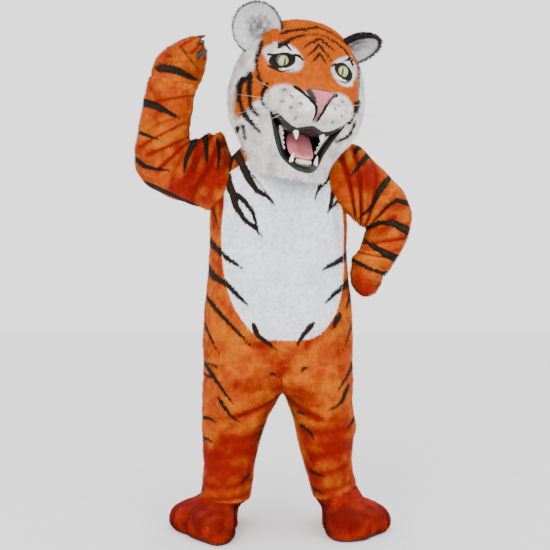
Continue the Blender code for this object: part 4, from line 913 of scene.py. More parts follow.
def horn(name, root, tip, radius, matrix=None):
    """A curved claw or tooth: rings that narrow from its root to its point."""
    root, tip = Vector(root), Vector(tip)
    way = (tip - root).normalized()
    sag = Vector((0, 0, -1)) - way * -way.z
    across = way.cross(sag).normalized()
    sag = across.cross(way).normalized()
    rings = []
    for share in np.linspace(0, 1, HORN_RINGS):
        size = np.interp(share, *HORN_TAPER)
        middle = root.lerp(tip, share) - sag * (4 * share * (1 - share)) * radius * 0.35
        angles = [2 * math.pi * i / HORN_SIDES for i in range(HORN_SIDES)]
        rings.append([middle + (across * math.cos(a) + sag * math.sin(a)) * radius * size for a in angles])
    return solid_grid(name, np.array(rings), matrix)


def hard_piece(obj, node, finish):
    """A moulded piece in place of its CAD node."""
    obj.data.materials.clear()
    obj.data.materials.append(finish)
    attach(obj, "root")
    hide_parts(node)
    return obj


for side, surface in SLEEVE_SURFACES.items():
    name, last = SIDE_NAMES[side], len(GLOVES[side]["middle_y"]) - 1
    paw = tube_surface(side, GLOVES[side], GLOVE_CREASES[side])
    cuff_grid = grid_of(np.linspace(CUFF_FROM, CUFF_TO, CUFF_ROWS), turns(SLEEVE_TURNS))
    paw_grid = grid_of(np.append(np.linspace(0, last, PAW_ROWS)[:-1], last - 0.05), turns(SLEEVE_TURNS))
    skins = []
    for depth, step in ((0.0, 1), (PLUSH, 2), (-SEAM, 1)):
        cuff = moved(surface, *(grid[:, ::step] for grid in cuff_grid), -PLUSH - SEAM - depth)
        rings = moved(paw, *(grid[:, ::step] for grid in paw_grid), -depth)
        rings[-1] = to_pole(rings[-1])
        skins.append(np.concatenate((cuff, rings)))
    outer, inner, around = skins
    glove = joined_wall(f"glove_{name}_cloth", outer, np.concatenate((inner[:-1:2], inner[-1:])), tube=True)
    in_sleeve = np.repeat((0.0, 1.0), (CUFF_ROWS, PAW_ROWS))[:, None] * np.ones(SLEEVE_TURNS)
    creases = np.concatenate((np.zeros((CUFF_ROWS, SLEEVE_TURNS)),
                              crease_depth(GLOVE_CREASES[side], *paw_grid, GLOVE_STEP, GLOVE_GIRTH)))
    nap = (0.4, -0.2, 1) if side == RIGHT else (-0.3, 0.2, -1)
    tube_coat(glove, outer, creases, GLOVE_MARKS, GLOVE_SHADE_SPOTS, in_sleeve, nap, 7 + side)
    pile = dressed(glove, (f"glove_{name}",), 40 + side, length=0.0090)
    glove_core = solid_grid("glove_core", around[CUFF_ROWS:])
    for i, (*ends, radius) in enumerate(zip(*(CLAWS[side][c] for c in CLAW_COLUMNS.split()))):
        root, tip = np.array(ends[:3]) + LIFT, np.array(ends[3:]) + LIFT
        claw = cut(horn(f"claw_{name}_{i + 1}_moulding", root, tip, radius), glove_core)
        hard_piece(claw, f"claw_{name}_{i + 1}", BLACK_RUBBER)
    bpy.data.objects.remove(glove_core)


# The paw boots are padded red plush over a flat black sole. Their toes are marked by soft grooves, and
# their shafts stand up inside the trouser legs.

BOOT_REACH = {
    RIGHT: (0.036, 0.044, 0.056, 0.082, 0.262, 0.228, 0.197, 0.201,
            0.199, 0.150, 0.124, 0.112, 0.098, 0.072, 0.048, 0.038),
    LEFT: (0.036, 0.044, 0.060, 0.092, 0.215, 0.228, 0.206, 0.211,
           0.186, 0.146, 0.122, 0.112, 0.098, 0.072, 0.048, 0.038),
}
BOOT_MIDDLES = {RIGHT: (-0.192, 0.004), LEFT: (0.207, 0.004)}
BOOT = table("height reach", """
    0.0083 0.96; 0.026 1.02; 0.052 0.99; 0.074 0.85; 0.09 0.57; 0.099 0.3
""", per_metre=1)
BOOT_WALL, SOLE = 0.005, 0.008
# How finely a boot is divided, and the row of the trouser leg that its shaft stands up to.
BOOT_TURNS, SHAFT_ROWS, FOOT_ROWS, SHAFT_FROM = 144, 13, 29, 7.8
TOE_GROOVES = {RIGHT: (0.285, 0.375, 0.455), LEFT: (0.275, 0.350, 0.435)}
# The boots' red plush, and the lighter orange of painted light on the low front of the toes.
BOOT_RED, BOOT_LIT_ORANGE = np.array((0.230, 0.003, 0.001)), np.array((0.450, 0.020, 0.001))


def around_ring(values, turn):
    """Smooth values round a closed ring of them, at a share of a turn."""
    values = np.asarray(values, float)
    looped = np.concatenate((values[-2:], values, values[:3]))
    place = np.asarray(turn) % 1 * len(values) + 2
    if values.ndim == 1:
        return along(looped, place)
    return np.stack([along(looped[:, k], place) for k in range(values.shape[1])], -1)


def boot_ring(side, height, reach, shaft, turn, wall=0.0):
    """One ring of a boot's foot, between its ankle and the foot's outline."""
    angle = 2 * math.pi * turn
    ahead = np.column_stack((-side * np.cos(angle), -np.sin(angle)))
    outline = np.array(BOOT_MIDDLES[side]) + ahead * around_ring(BOOT_REACH[side], turn)[:, None]
    toes = sum(np.exp(-(((turn - groove) / 0.011) ** 2)) for groove in TOE_GROOVES[side])
    arch = np.interp(height, (0.0083, 0.03, 0.07, 0.099), (0.2, 1.0, 1.0, 0.2))
    outline = outline - ahead * (toes * 0.012 * arch)[:, None]
    flat = shaft[:, :2] * (1 - reach) + outline * reach - ahead * wall
    return np.column_stack((flat, np.full(len(angle), height))) + LIFT


SOLE_RUBBER = plain_material("sole_rubber", (0.030, 0.016, 0.014), 0.75, 180.0, 0.0006)
for side, surface in LEG_SURFACES.items():
    name, last = SIDE_NAMES[side], len(LEGS[side]["height"]) - 1
    shaft_places = np.linspace(SHAFT_FROM, last, SHAFT_ROWS)
    foot_places = np.linspace(0, len(BOOT["height"]) - 1, FOOT_ROWS)
    skins = []
    for depth, step in ((0, 1), (1, 2)):
        turn = turns(BOOT_TURNS)[::step]
        shaft = moved(surface, *grid_of(shaft_places[::step], turn), side * (PLUSH + SEAM + depth * PLUSH))
        ankle = moved(surface, *grid_of((last,), turn), side * (PLUSH + SEAM))[0]
        foot = [boot_ring(side, *(along(column, place) for column in BOOT.values()), ankle, turn,
                          depth * BOOT_WALL) for place in foot_places[::step]]
        skins.append(np.concatenate((shaft, foot[::-1])))
    outer, inner = skins
    boot = joined_wall(f"boot_{name}_padding", outer, inner, tube=True)
    points, normal = mesh_points(boot)
    # Painted light: the low front of each foot, which faces the lamps, is lightened from red towards orange.
    low = np.clip((0.075 - (points[:, 2] + SHOULDER_HEIGHT)) / 0.05, 0, 1)
    low = low * np.clip(-normal[:, 1] + 0.3, 0, 1)
    tone = 0.25 + 0.5 * low + 1.3 * unevenness(points, 22.0, 1.0, 5.0 + side)
    colour = blended(BOOT_RED, BOOT_LIT_ORANGE, tone)
    in_leg = np.repeat((0.0, 1.0), (SHAFT_ROWS, FOOT_ROWS))[:, None] * np.ones(BOOT_TURNS)
    tube_coat(boot, outer, 0 * in_leg, (), (), in_leg, (0, -1.0, -0.5), 0, colour)
    dressed(boot, (f"boot_{name}",), 50 + side, length=0.0095)
    turn = turns(BOOT_TURNS)
    ankle = moved(surface, *grid_of((last,), turn), side * (PLUSH + SEAM))[0]
    plate = [boot_ring(side, height, BOOT["reach"][0], ankle, turn) for height in (0.0, 0.002, 0.006, SOLE)]
    hard_piece(solid_grid(f"sole_{name}_moulding", np.array(plate)), f"sole_{name}", SOLE_RUBBER)


# The head is a moulded shell covered in the same plush, with longer fur down its cheeks, and it rests on
# the wearer's shoulders. The muzzle, brows and chin are moulded into it, the face is painted on the pile,
# and it is open below for the wearer's head.

HEAD_MATRIX = (Matrix.Translation((0.068, -0.045, 1.575 - SHOULDER_HEIGHT))
               @ Matrix.Rotation(math.radians(9), 4, "Y") @ Matrix.Rotation(math.radians(15), 4, "Z"))
HEAD = table("z half_width front back", """
    245 0 0 0; 238 58 50 65; 215 112 98 125; 170 162 146 178; 110 202 180 210; 40 221 196 226;
    -30 228 202 223; -90 222 202 206; -140 203 198 182; -185 172 190 158; -225 150 178 142;
    -262 140 168 132; -300 134 152 128
""")
HEAD_WALL = 0.009
# Forms of the face, pushed forward from the head, those off its middle on both sides: middle, reach
# across and up, and height.
FACE_FORMS = rows_of("""
    0 -58 112 60 92; 70 -78 56 40 36; 0 5 42 70 34; 88 140 52 26 16; 110 90 42 28 -24; 0 -268 78 50 94;
    150 -10 50 50 12; 0 -72 7 30 -8; 45 20 12 40 -5; 0 120 12 50 -4; 78 -52 34 20 6
""")
RUFF_ANGLE, RUFF_SPREAD, RUFF_RISE = math.radians(84), math.radians(24), 0.010
RUFF_Z, RUFF_TALL = -0.010, 0.140
HEAD_COLUMNS, HEAD_STEP, FRONT_CROWDING = 113, 0.0048, 1.3


def head_point(place, turn):
    """A point of the head's outside, in its own frame, by row and by share of a turn from the front."""
    half_width, front, back, height = (along(HEAD[c], place) for c in ("half_width", "front", "back", "z"))
    angle = 2 * math.pi * ((turn + 0.5) % 1 - 0.5)
    sine, cosine = np.sin(angle), np.cos(angle)
    x, y, z = half_width * sine, -np.where(cosine > 0, front, back) * cosine, height + 0 * angle
    ruff = RUFF_RISE * np.exp(-(((np.abs(angle) - RUFF_ANGLE) / RUFF_SPREAD) ** 2)
                              - ((z - RUFF_Z) / RUFF_TALL) ** 2)
    x, y = x + np.sign(sine) * ruff, y + ruff * 0.2
    facing_front = np.clip(cosine * 3, 0, 1)
    for middle_x, middle_z, wide, tall, rise in FACE_FORMS:
        for form_x in (middle_x, -middle_x)[:2 if middle_x else 1]:
            y = y - facing_front * rise * np.exp(-(((x - form_x) / wide) ** 2) - ((z - middle_z) / tall) ** 2)
    return np.stack((x, y, z), -1)


def head_places():
    """Rows of the head an even way apart over its outline."""
    fine = np.linspace(0.03, len(HEAD["z"]) - 1, 2000)
    outline = np.stack((along(HEAD["half_width"], fine), along(HEAD["z"], fine)), -1)
    length = np.concatenate(((0.0,), np.cumsum(np.linalg.norm(np.diff(outline, axis=0), axis=1))))
    count = 2 * round(length[-1] / HEAD_STEP / 2) + 1
    return np.interp(np.linspace(0, length[-1], count), length, fine)


def head_skin(depth, step=1):
    """The head's surface moved inwards by a depth, drawn together at its crown."""
    half = 0.5 * np.linspace(0, 1, HEAD_COLUMNS) ** FRONT_CROWDING
    columns = np.concatenate((half, 1 - half[-2:0:-1]))
    place, turn = grid_of(head_places()[::step], columns[::step])
    skin = moved(head_point, place, turn, depth)
    skin[0] = to_pole(skin[0])
    return skin


MOUTH_EDGE = table("x z lip", """
    0.0 -0.112 1.0; 0.024 -0.118 1.0; 0.048 -0.124 1.0; 0.078 -0.114 0.8; 0.106 -0.096 0.5; 0.128 -0.08 0.2;
    0.136 -0.084 0.2; 0.131 -0.104 0.45; 0.116 -0.136 0.9; 0.1 -0.172 1.0; 0.085 -0.205 1.0;
    0.066 -0.24 1.0; 0.036 -0.266 1.0; 0.0 -0.274 1.0
""", per_metre=1)
MOUTH_TURNS = 156


def mouth_edge():
    """The mouth's whole edge as places seen from the front, and the share of its full width of the lip."""
    half = np.column_stack((MOUTH_EDGE["x"], MOUTH_EDGE["z"], MOUTH_EDGE["lip"]))
    whole = around_ring(np.concatenate((half, half[-2:0:-1] * (-1, 1, 1))), turns(MOUTH_TURNS))
    return whole[:, :2], whole[:, 2]


head = joined_wall("head_shell_moulding", head_skin(0), head_skin(HEAD_WALL, 2), tube=True)
head.data.transform(HEAD_MATRIX)
edge = mouth_edge()[0]
prism = np.array([[(x, y, z) for x, z in edge] for y in (-0.5, -0.03)])
mouth_hole = solid_grid("mouth_hole", prism, HEAD_MATRIX)
cut(cut(head, mouth_hole), CORE)
bpy.data.objects.remove(mouth_hole)
HEAD_CORE = solid_grid("head_core", head_skin(-SEAM), HEAD_MATRIX)

FUR_WHITE, FUR_GREY = np.array((0.860, 0.840, 0.800)), np.array((0.460, 0.450, 0.430))
FACE_ORANGE, BLACK = np.array((0.530, 0.094, 0.001)), np.array((0.012, 0.011, 0.013))
# The face's white fur: middle, reach across and up, and slant, seen from the front.
WHITE_FUR = rows_of("""
    0.0 -0.085 0.13 0.06; -0.09 -0.056 0.07 0.064; 0.09 -0.056 0.07 0.064; 0.0 -0.24 0.16 0.13;
    -0.106 0.098 0.064 0.044 -0.35; -0.122 0.12 0.04 0.026 0.1; 0.112 0.092 0.06 0.046 0.35;
    0.112 0.06 0.04 0.024
""", per_metre=1)
# The inner edge of the white ruff down each side: at these heights, how far from the middle it starts.
RUFF_EDGE = {
    RIGHT: ((-0.131, -0.102, -0.045, -0.008, 0.026, 0.052, 0.083, 0.141, 0.200),
            (0.201, 0.222, 0.230, 0.222, 0.204, 0.187, 0.184, 0.171, 0.160)),
    LEFT: ((-0.131, -0.062, -0.015, 0.059, 0.114, 0.157, 0.200),
           (0.160, 0.164, 0.176, 0.178, 0.177, 0.166, 0.150)),
}
# The top of the white on the lower cheeks: at these distances from the middle, how high it stands.
CHEEK_TOP = rows_of("""
    100 150 164 178 190 205 240; -16 -34 -50 -70 -98 -131 -150
""")
# The face's painted marks: their greatest width, and their line from root to point.
FACE_MARKS = strokes("front", """
    17 -212 18 -221 -12 -219 -57 -199 -103 -190 -112; 17 -199 34 -198 -22 -188 -74 -158 -100;
    12 -180 30 -164 -4; 18 -204 -94 -182 -118 -138 -158; 15 -190 -70 -174 -88 -154 -108;
    11 -166 150 -184 84 -183 52 -165 12; 9 -198 -142 -190 -165 -182 -205; 9 -190 -136 -180 -158 -164 -190;
    9 168 160 178 114 180 59 172 -10; 26 182 0 172 -24 152 -68; 22 178 -70 170 -92 162 -130;
    18 156 -66 138 -78 106 -94; 18 174 -104 150 -126 108 -150;
    11 -118 172 -90 190 -40 203 8 220 60 209 122 184; 12 -126 128 -92 156 -55 178 -20 190 14 194;
    12 124 136 98 160 68 178 30 190 6 194; 11 12 180 -21 160 -56 134; 11 12 180 34 163 64 140;
    11 6 158 -14 132 -40 110; 11 6 158 26 134 50 112; 10 8 128 -8 104 -26 90; 10 8 128 22 108 36 94;
    13 -126 137 -110 145 -88 124; 12 -78 112 -62 112 -44 96; 13 148 120 128 134 98 122;
    12 80 108 64 104 50 90; 10 88 52 116 48 146 66; 10 -152 64 -112 49 -60 68;
    13 -152 6 -163 -30 -156 -60 -140 -78; 11 160 -4 166 -40 146 -76; 10 -156 104 -140 104 -120 112;
    14 -36 -24 -18 -50 -12 -72 -9 -102; 14 32 -24 14 -50 8 -72 3 -102; 16 -72 4 -58 -2 -46 -14 -30 -36;
    16 78 0 64 -3 50 -14 30 -36
""")
# The pink skin under the nose.
STEM_PINK = np.array((0.380, 0.080, 0.090))
# Black skin round the eyes: middle, reach across and up, and slant.
EYE_SKIN = rows_of("""
    -0.111 0.089 0.043 0.027 0.3; 0.111 0.089 0.043 0.027 -0.3
""", per_metre=1)
WHISKER_SPOTS = rows_of("""
    -82 -29; -85 -66; -62 -49; -65 -95; -99 -12; -106 -52; 56 -48; 54 -88; 95 -18; 82 -66; 106 -48; 78 -34
""")


def in_own_frame(matrix, points, normal):
    """Points and normals as they lie in the frame of a piece that a matrix has placed."""
    inverse = np.array(matrix.inverted())
    return points @ inverse[:3, :3].T + inverse[:3, 3], normal @ inverse[:3, :3].T


def spot(flat, x, z, wide, tall, slant=0.0):
    """How far a place is from a spot's middle, as a share of its reach."""
    across, up = flat[..., 0] - x, flat[..., 1] - z
    turned = across * math.cos(slant) + up * math.sin(slant), up * math.cos(slant) - across * math.sin(slant)
    return np.sqrt((turned[0] / wide) ** 2 + (turned[1] / tall) ** 2)


def head_coat(obj):
    """Paints the head: orange, with white fur, black marks and a pink stem under the nose."""
    points, normal = mesh_points(obj)
    local, normal = in_own_frame(HEAD_MATRIX, points, normal)
    flat = local[:, (0, 2)]
    ahead = np.clip((-normal[:, 1] + 0.25) / 0.3, 0, 1) * (local[:, 1] < 0.02)
    patches = 0.5 + 1.6 * unevenness(local, 22.0, 1.0, 12.0) + 0.8 * unevenness(local, 60.0, 1.0, 14.0)
    colour = blended(ORANGE, AMBER, patches)
    colour = blended(colour, FACE_ORANGE, 0.7 * ahead)
    paleness = 0.80 + 0.9 * unevenness(local, 30.0, 1.0, 3.0)
    grey = blended(FUR_GREY, FUR_WHITE, paleness)
    # The ruff down the cheeks and under the head is white, and so is the fur round the eyes and mouth.
    aside = np.abs(flat[:, 0])
    ruff_from = np.where(flat[:, 0] < 0, *(np.interp(flat[:, 1], *RUFF_EDGE[side]) for side in (RIGHT, LEFT)))
    jagged = 0.010 * np.abs((aside * 60 + flat[:, 1] * 14) % 2 - 1)
    cheek = (np.interp(aside, *CHEEK_TOP) + jagged - flat[:, 1]) / 0.008
    ruff = np.maximum((aside - ruff_from) / 0.010, cheek)
    ruff = np.clip(ruff + 0.5, 0, 1) * np.clip((0.085 - local[:, 1]) / 0.03, 0, 1)
    white = ruff
    for patch in WHITE_FUR:
        white = np.maximum(white, ahead * np.clip((1.06 - spot(flat, *patch)) / 0.16, 0, 1))
    colour = blended(colour, grey, white)
    marks = np.full(len(points), -0.02)
    for _, width, *line in FACE_MARKS:
        distance, share = near_line(flat, line)
        half = width / 2 * np.clip((share + 0.15) / 0.25, 0, 1) * np.clip(1.03 - share, 0, 1) ** 0.5
        marks = np.maximum(marks, half - distance)
    for *middle, wide, tall, slant in EYE_SKIN:
        marks = np.maximum(marks, (1 - spot(flat, *middle, wide, tall, slant)) * tall)
    marks = np.minimum(marks, 0.003) - 0.02 * (1 - ahead)
    # Stripes on the crown and the back of the head run across it.
    wave = np.abs(np.sin(flat[:, 1] * 42 + 1.2 * np.cos(flat[:, 0] * 14) + 0.8))
    behind = np.clip((local[:, 1] - 0.01) / 0.03, 0, 1) * (flat[:, 1] > -0.14) * (np.abs(flat[:, 0]) > 0.02)
    marks = np.maximum(marks, (wave - 0.955) * 0.10 - 0.02 * (1 - behind))
    stem = ahead * np.clip((1.1 - spot(flat, -0.002, -0.064, 0.013, 0.034)) / 0.3, 0, 1)
    colour = blended(colour, STEM_PINK, 0.85 * stem)
    for x, z in WHISKER_SPOTS:
        grey_spot = ahead * np.clip((1 - spot(flat, x, z, 0.0060, 0.0050)) / 0.4 + 0.5, 0, 1)
        colour = blended(colour, BLACK, 0.8 * grey_spot)
    skin_near = np.minimum(*(spot(flat, *mark) for mark in EYE_SKIN))
    near = np.minimum(skin_near, spot(flat, 0, -0.026, 0.052, 0.036))
    bare = ((near < 1.0) & (ahead > 0)) | (flat[:, 1] < -0.295)
    muzzle = 1 - 0.35 * ahead * np.clip(1.4 - spot(flat, 0, -0.05, 0.16, 0.12), 0, 1)
    length = np.where(ahead > 0, np.clip((near - 1) / 0.8, 0.35, 1) * muzzle, 1.0) * (1 + 0.55 * ruff)
    # The fur is combed back from the nose and down the cheeks.
    away = np.stack((flat[:, 0] * 4, 0.25 + 0 * ahead, (flat[:, 1] + 0.03) * 4), -1)
    away[:, 2] = np.where((np.abs(flat[:, 0]) > 0.14) | (flat[:, 1] < -0.14), -0.9, away[:, 2])
    away /= np.maximum(np.linalg.norm(away, axis=1, keepdims=True), 0.4)
    nap = away @ np.array(HEAD_MATRIX)[:3, :3].T
    return painted(obj, colour, marks * 1000, nap, np.where(bare, 0.0, 1.0), length)


head_coat(head)
dressed(head, ("head_shell",), 60, density=95000.0, length=0.0100, width=0.0028)


# The mouth is lined with glossy black rubber that rolls out over the lips. In it lie a pink rubber tongue
# with a groove down its middle, four moulded fangs and rows of small lower teeth, glued to the lining.

MOUTH_MIDDLE, MOUTH_BACK_Y, LINING = np.array((0.0, -0.165)), -0.070, 0.003
MOUTH_ROWS, LIP_RINGS = 43, 2
MOUTH_RINGS = table("inset scale depth to_back", """
    0.002 1.0 -0.001 0.0; 0.005 1.0 -0.009 0.0; 0.015 1.0 -0.005 0.0; 0.022 0.99 0.012 0.0;
    0.024 0.94 0.045 0.2; 0.024 0.8 0.05 0.8; 0.024 0.4 0.05 1.0; 0.024 0.0 0.05 1.0
""", per_metre=1)
TONGUE = table("y z half_width half_height", """
    -216 -223 0 0; -210 -223 20 8; -194 -221 36 12; -168 -211 44 14; -140 -192 46 14; -110 -167 44 13;
    -92 -146 32 10; -84 -134 0 0
""")
FANGS = {
    "fang_upper_left": ((0.047, -0.214, -0.131), (0.045, -0.241, -0.169), 0.012),
    "fang_upper_right": ((-0.047, -0.214, -0.131), (-0.045, -0.241, -0.169), 0.012),
    "fang_lower_left": ((0.043, -0.213, -0.245), (0.041, -0.228, -0.210), 0.008),
    "fang_lower_right": ((-0.043, -0.213, -0.245), (-0.041, -0.228, -0.210), 0.008),
}
TEETH = {
    "teeth_front": ((-0.028, -0.240), (0.028, -0.240), (0, 1), 0.020, 6, 0.009),
    "teeth_left": ((0.060, -0.206), (0.084, -0.128), (-1, 0), 0.034, 5, 0.008),
    "teeth_right": ((-0.084, -0.128), (-0.060, -0.206), (1, 0), 0.034, 5, 0.008),
}
BAR_HALF_DEPTH, BAR_BEHIND, ROWS_PER_TOOTH = 0.004, 0.008, 14
TONGUE_ROWS, TONGUE_TURNS = 57, 48


def face_tree():
    """The head's outside for casting rays at."""
    skin = head_skin(0)
    rows, columns = skin.shape[:2]
    faces = [(i * columns + j, i * columns + (j + 1) % columns, (i + 1) * columns + (j + 1) % columns,
              (i + 1) * columns + j) for i in range(rows - 1) for j in range(columns)]
    return BVHTree.FromPolygons(skin.reshape(-1, 3).tolist(), faces)


FACE = face_tree()


def face_y(x, z):
    """How far forward the face is at a place seen from the front."""
    hit = FACE.ray_cast(Vector((x, -1, z)), Vector((0, 1, 0)))[0]
    return hit.y if hit else -0.1


def in_mouth(obj, node, finish):
    """A piece of the mouth, cut off where the lining begins, in place of its CAD node."""
    return hard_piece(cut(obj, room, "INTERSECT"), node, finish)


def mouth_skin(depth, step=1):
    """The mouth lining's seen side, in rings from the lips to the throat, moved by a depth."""
    edge, lip = mouth_edge()
    face = np.array([face_y(*place) for place in edge])
    run = np.roll(edge, -1, axis=0) - np.roll(edge, 1, axis=0)
    inward = np.column_stack((run[:, 1], -run[:, 0])) / np.linalg.norm(run, axis=1)[:, None] * lip[:, None]

    def point(place, turn):
        inset, scale, behind, to_back = (along(column, place) for column in MOUTH_RINGS.values())
        flat = (around_ring(edge, turn) + around_ring(inward, turn) * inset[..., None] - MOUTH_MIDDLE)
        flat = MOUTH_MIDDLE + flat * scale[..., None]
        y = (around_ring(face, turn) + behind) * (1 - to_back) + MOUTH_BACK_Y * to_back
        return np.stack((flat[..., 0], y, flat[..., 1]), -1)

    places = np.linspace(0, len(MOUTH_RINGS["scale"]) - 1, MOUTH_ROWS)[::step]
    places[-1] -= 0.05
    place, turn = grid_of(places, turns(MOUTH_TURNS)[::step])
    skin = moved(point, place, turn, depth)
    lips = places <= LIP_RINGS
    skin[lips] = point(place, turn)[lips] + (0, depth, 0)
    skin[-1] = to_pole(skin[-1])
    return skin


lining = joined_wall("mouth_lining_moulding", mouth_skin(0), mouth_skin(LINING, 2), tube=True)
lining.data.transform(HEAD_MATRIX)
lip_rubber = plain_material("lip_rubber", (0.004, 0.006, 0.006), 0.36, 90.0, 0.0008, coat=0.06)
lip_rubber.node_tree.nodes["Principled BSDF"].inputs["Specular IOR Level"].default_value = 0.28
hard_piece(lining, "mouth_lining", lip_rubber)
seen, room = mouth_skin(0), mouth_skin(-SEAM)
in_front = seen[:1].copy()
in_front[..., 1] = -0.5
room = solid_grid("mouth_room", np.concatenate((in_front, seen[:1], room[1:])), HEAD_MATRIX)

TONGUE_RUBBER = plain_material("tongue_rubber", (0.740, 0.215, 0.250), 0.38, 330.0, 0.0009, spread=0.16,
                               coat=0.3)
TOOTH_RESIN = plain_material("tooth_resin", (0.800, 0.770, 0.640), 0.22, 120.0, 0.0003, spread=0.08, coat=0.4)
angle = 2 * math.pi * turns(TONGUE_TURNS)
rings = []
for place in np.linspace(0, len(TONGUE["y"]) - 1, TONGUE_ROWS):
    y, z, half_width, half_height = (along(column, np.array(place)) for column in TONGUE.values())
    half_width, half_height = max(half_width, 0), max(half_height, 0)
    x, rise = half_width * np.cos(angle), half_height * np.sin(angle)
    groove = 0.009 * np.exp(-((x / 0.008) ** 2)) * np.clip(rise / 0.004, 0, 1) * min(1, half_width / 0.02)
    rings.append(np.column_stack((x, np.full(len(x), y), z + rise - groove)))
in_mouth(solid_grid("tongue_moulding", np.array(rings), HEAD_MATRIX), "tongue", TONGUE_RUBBER)
for name, (root, tip, radius) in FANGS.items():
    in_mouth(horn(name + "_moulding", root, tip, radius, HEAD_MATRIX), name, TOOTH_RESIN)
for name, (first, last, way, behind, count, length) in TEETH.items():
    rings = []
    for share in np.linspace(0, 1, count * ROWS_PER_TOOTH + 1):
        x, z = (a + (b - a) * share for a, b in zip(first, last))
        rise = 0.002 + length * abs(math.sin(math.pi * count * share)) ** 0.6
        y = face_y(x, z) + behind
        rings.append([(x + way[0] * out, y + BAR_HALF_DEPTH * back, z + way[1] * out)
                      for out, back in ((-BAR_BEHIND, -1), (-BAR_BEHIND, 0), (-BAR_BEHIND, 1),
                                        (rise * 0.6, 1), (rise * 0.9, 0.6), (rise, 0),
                                        (rise * 0.9, -0.6), (rise * 0.6, -1))])
    in_mouth(solid_grid(name + "_moulding", np.array(rings), HEAD_MATRIX), name, TOOTH_RESIN)
bpy.data.objects.remove(room)


# The eyes are glossy plastic balls set in the face, with yellow-green irises and upright pupils, and the
# nose is a moulded pink rubber piece, wider at its top. The whiskers are nylon threads, four on each side.

EYE_X, EYE_Z, EYE_RADIUS, EYE_SINK = 0.105, 0.087, 0.028, 0.012
BALL_RINGS, BALL_SEGMENTS, NOSE_RINGS, NOSE_SEGMENTS = 48, 72, 72, 120
NOSE_Z, NOSE_SIZE, NOSE_SINK = -0.026, (0.046, 0.032, 0.033), 0.008
# How broad the nose is at these heights, from its foot at -1 to its top at 1.
NOSE_BREADTH = ((-1, -0.55, 0.0, 0.55, 1), (0.30, 0.42, 0.72, 1.20, 1.34))
WHISKERS = rows_of("""
    96 -38 245 -300 20; 104 -54 290 -270 -40; 104 -72 285 -280 -105; 98 -88 250 -300 -165
""")
WHISKER_RADIUS, WHISKER_BOW, WHISKER_ROWS, WHISKER_SIDES = 0.0008, 0.016, 25, 8


def ball(name, middle, radii):
    """A ball, in the head's frame."""
    polar, turn = grid_of(np.linspace(0, math.pi, BALL_RINGS + 1), 2 * math.pi * turns(BALL_SEGMENTS))
    unit = np.stack((np.sin(polar) * np.cos(turn), np.sin(polar) * np.sin(turn), np.cos(polar)), -1)
    return solid_grid(name, np.array(middle) + unit * radii, HEAD_MATRIX)


def keystone(name, middle, radii):
    """The nose: flat and broad across its top, drawn in to a narrow foot, with a nostril on each side."""
    polar, turn = grid_of(np.linspace(0, math.pi, NOSE_RINGS + 1), 2 * math.pi * turns(NOSE_SEGMENTS))
    height = np.sign(np.cos(polar)) * np.abs(np.cos(polar)) ** 0.7
    breadth = np.abs(np.sin(polar)) ** 0.55 * np.interp(height, *NOSE_BREADTH)
    unit = np.stack((breadth * np.cos(turn), np.abs(np.sin(polar)) ** 0.8 * np.sin(turn), height), -1)
    for side in (RIGHT, LEFT):
        away = ((unit[..., 0] - side * 0.66) / 0.26) ** 2 + ((unit[..., 2] + 0.02) / 0.34) ** 2
        unit[..., 1] *= 1 - 0.35 * np.exp(-away) * (unit[..., 1] < 0)
    unit[..., 1] *= 1 - 0.10 * np.exp(-((unit[..., 0] / 0.06) ** 2)) * (unit[..., 1] < 0)
    return solid_grid(name, np.array(middle) + unit * radii, HEAD_MATRIX)


def own_place(obj, middle, radii):
    """Keeps at each point its place on the piece, from -1 to 1 across, along and up."""
    local = (in_own_frame(HEAD_MATRIX, *mesh_points(obj))[0] - middle) / radii
    attribute = obj.data.attributes.new("own_place", "FLOAT_VECTOR", "POINT")
    attribute.data.foreach_set("vector", local.astype(np.float32).ravel())


def eye_material(gaze):
    """A yellow-green iris with darker rays and an upright pupil, under a clear glossy coat."""
    material, tree, shader = new_material("eye")
    place = added(tree, "ShaderNodeAttribute", {}, attribute_name="own_place").outputs["Vector"]

    def ring(scale, softness, inside, under):
        """Paints inside a ring round the gaze, over what is under it."""
        mapping = added(tree, "ShaderNodeMapping", {
            "Location": (-gaze[0] * scale[0], 0, -gaze[1] * scale[1]), "Scale": (scale[0], 0, scale[1]),
            "Vector": place})
        reach = added(tree, "ShaderNodeVectorMath", {0: mapping.outputs["Vector"]}, operation="LENGTH")
        ramp = added(tree, "ShaderNodeValToRGB", {"Fac": reach.outputs["Value"]})
        for element, position, tone in zip(ramp.color_ramp.elements, (0.5 - softness, 0.5), (1, 0)):
            element.position, element.color = position, (tone, tone, tone, 1)
        return mixed(tree, ramp.outputs["Color"], under, inside)

    iris = ring((0.62, 0.62), 0.06, (0.330, 0.390, 0.120, 1), (0.006, 0.006, 0.006, 1))
    inner = ring((0.95, 0.95), 0.30, (0.560, 0.560, 0.240, 1), iris)
    pupil = ring((3.2, 0.95), 0.05, (0.003, 0.003, 0.003, 1), inner)
    rays = added(tree, "ShaderNodeTexNoise", {"Scale": 7.0, "Vector": place}).outputs["Fac"]
    shaded = added(tree, "ShaderNodeVectorMath", {0: pupil, "Scale": ranged(tree, rays, 0, 1, 0.65, 1.35)},
                   operation="SCALE")
    wired(tree, shader, {"Roughness": 0.18, "Coat Weight": 0.4, "Base Color": shaded.outputs["Vector"]})
    return material


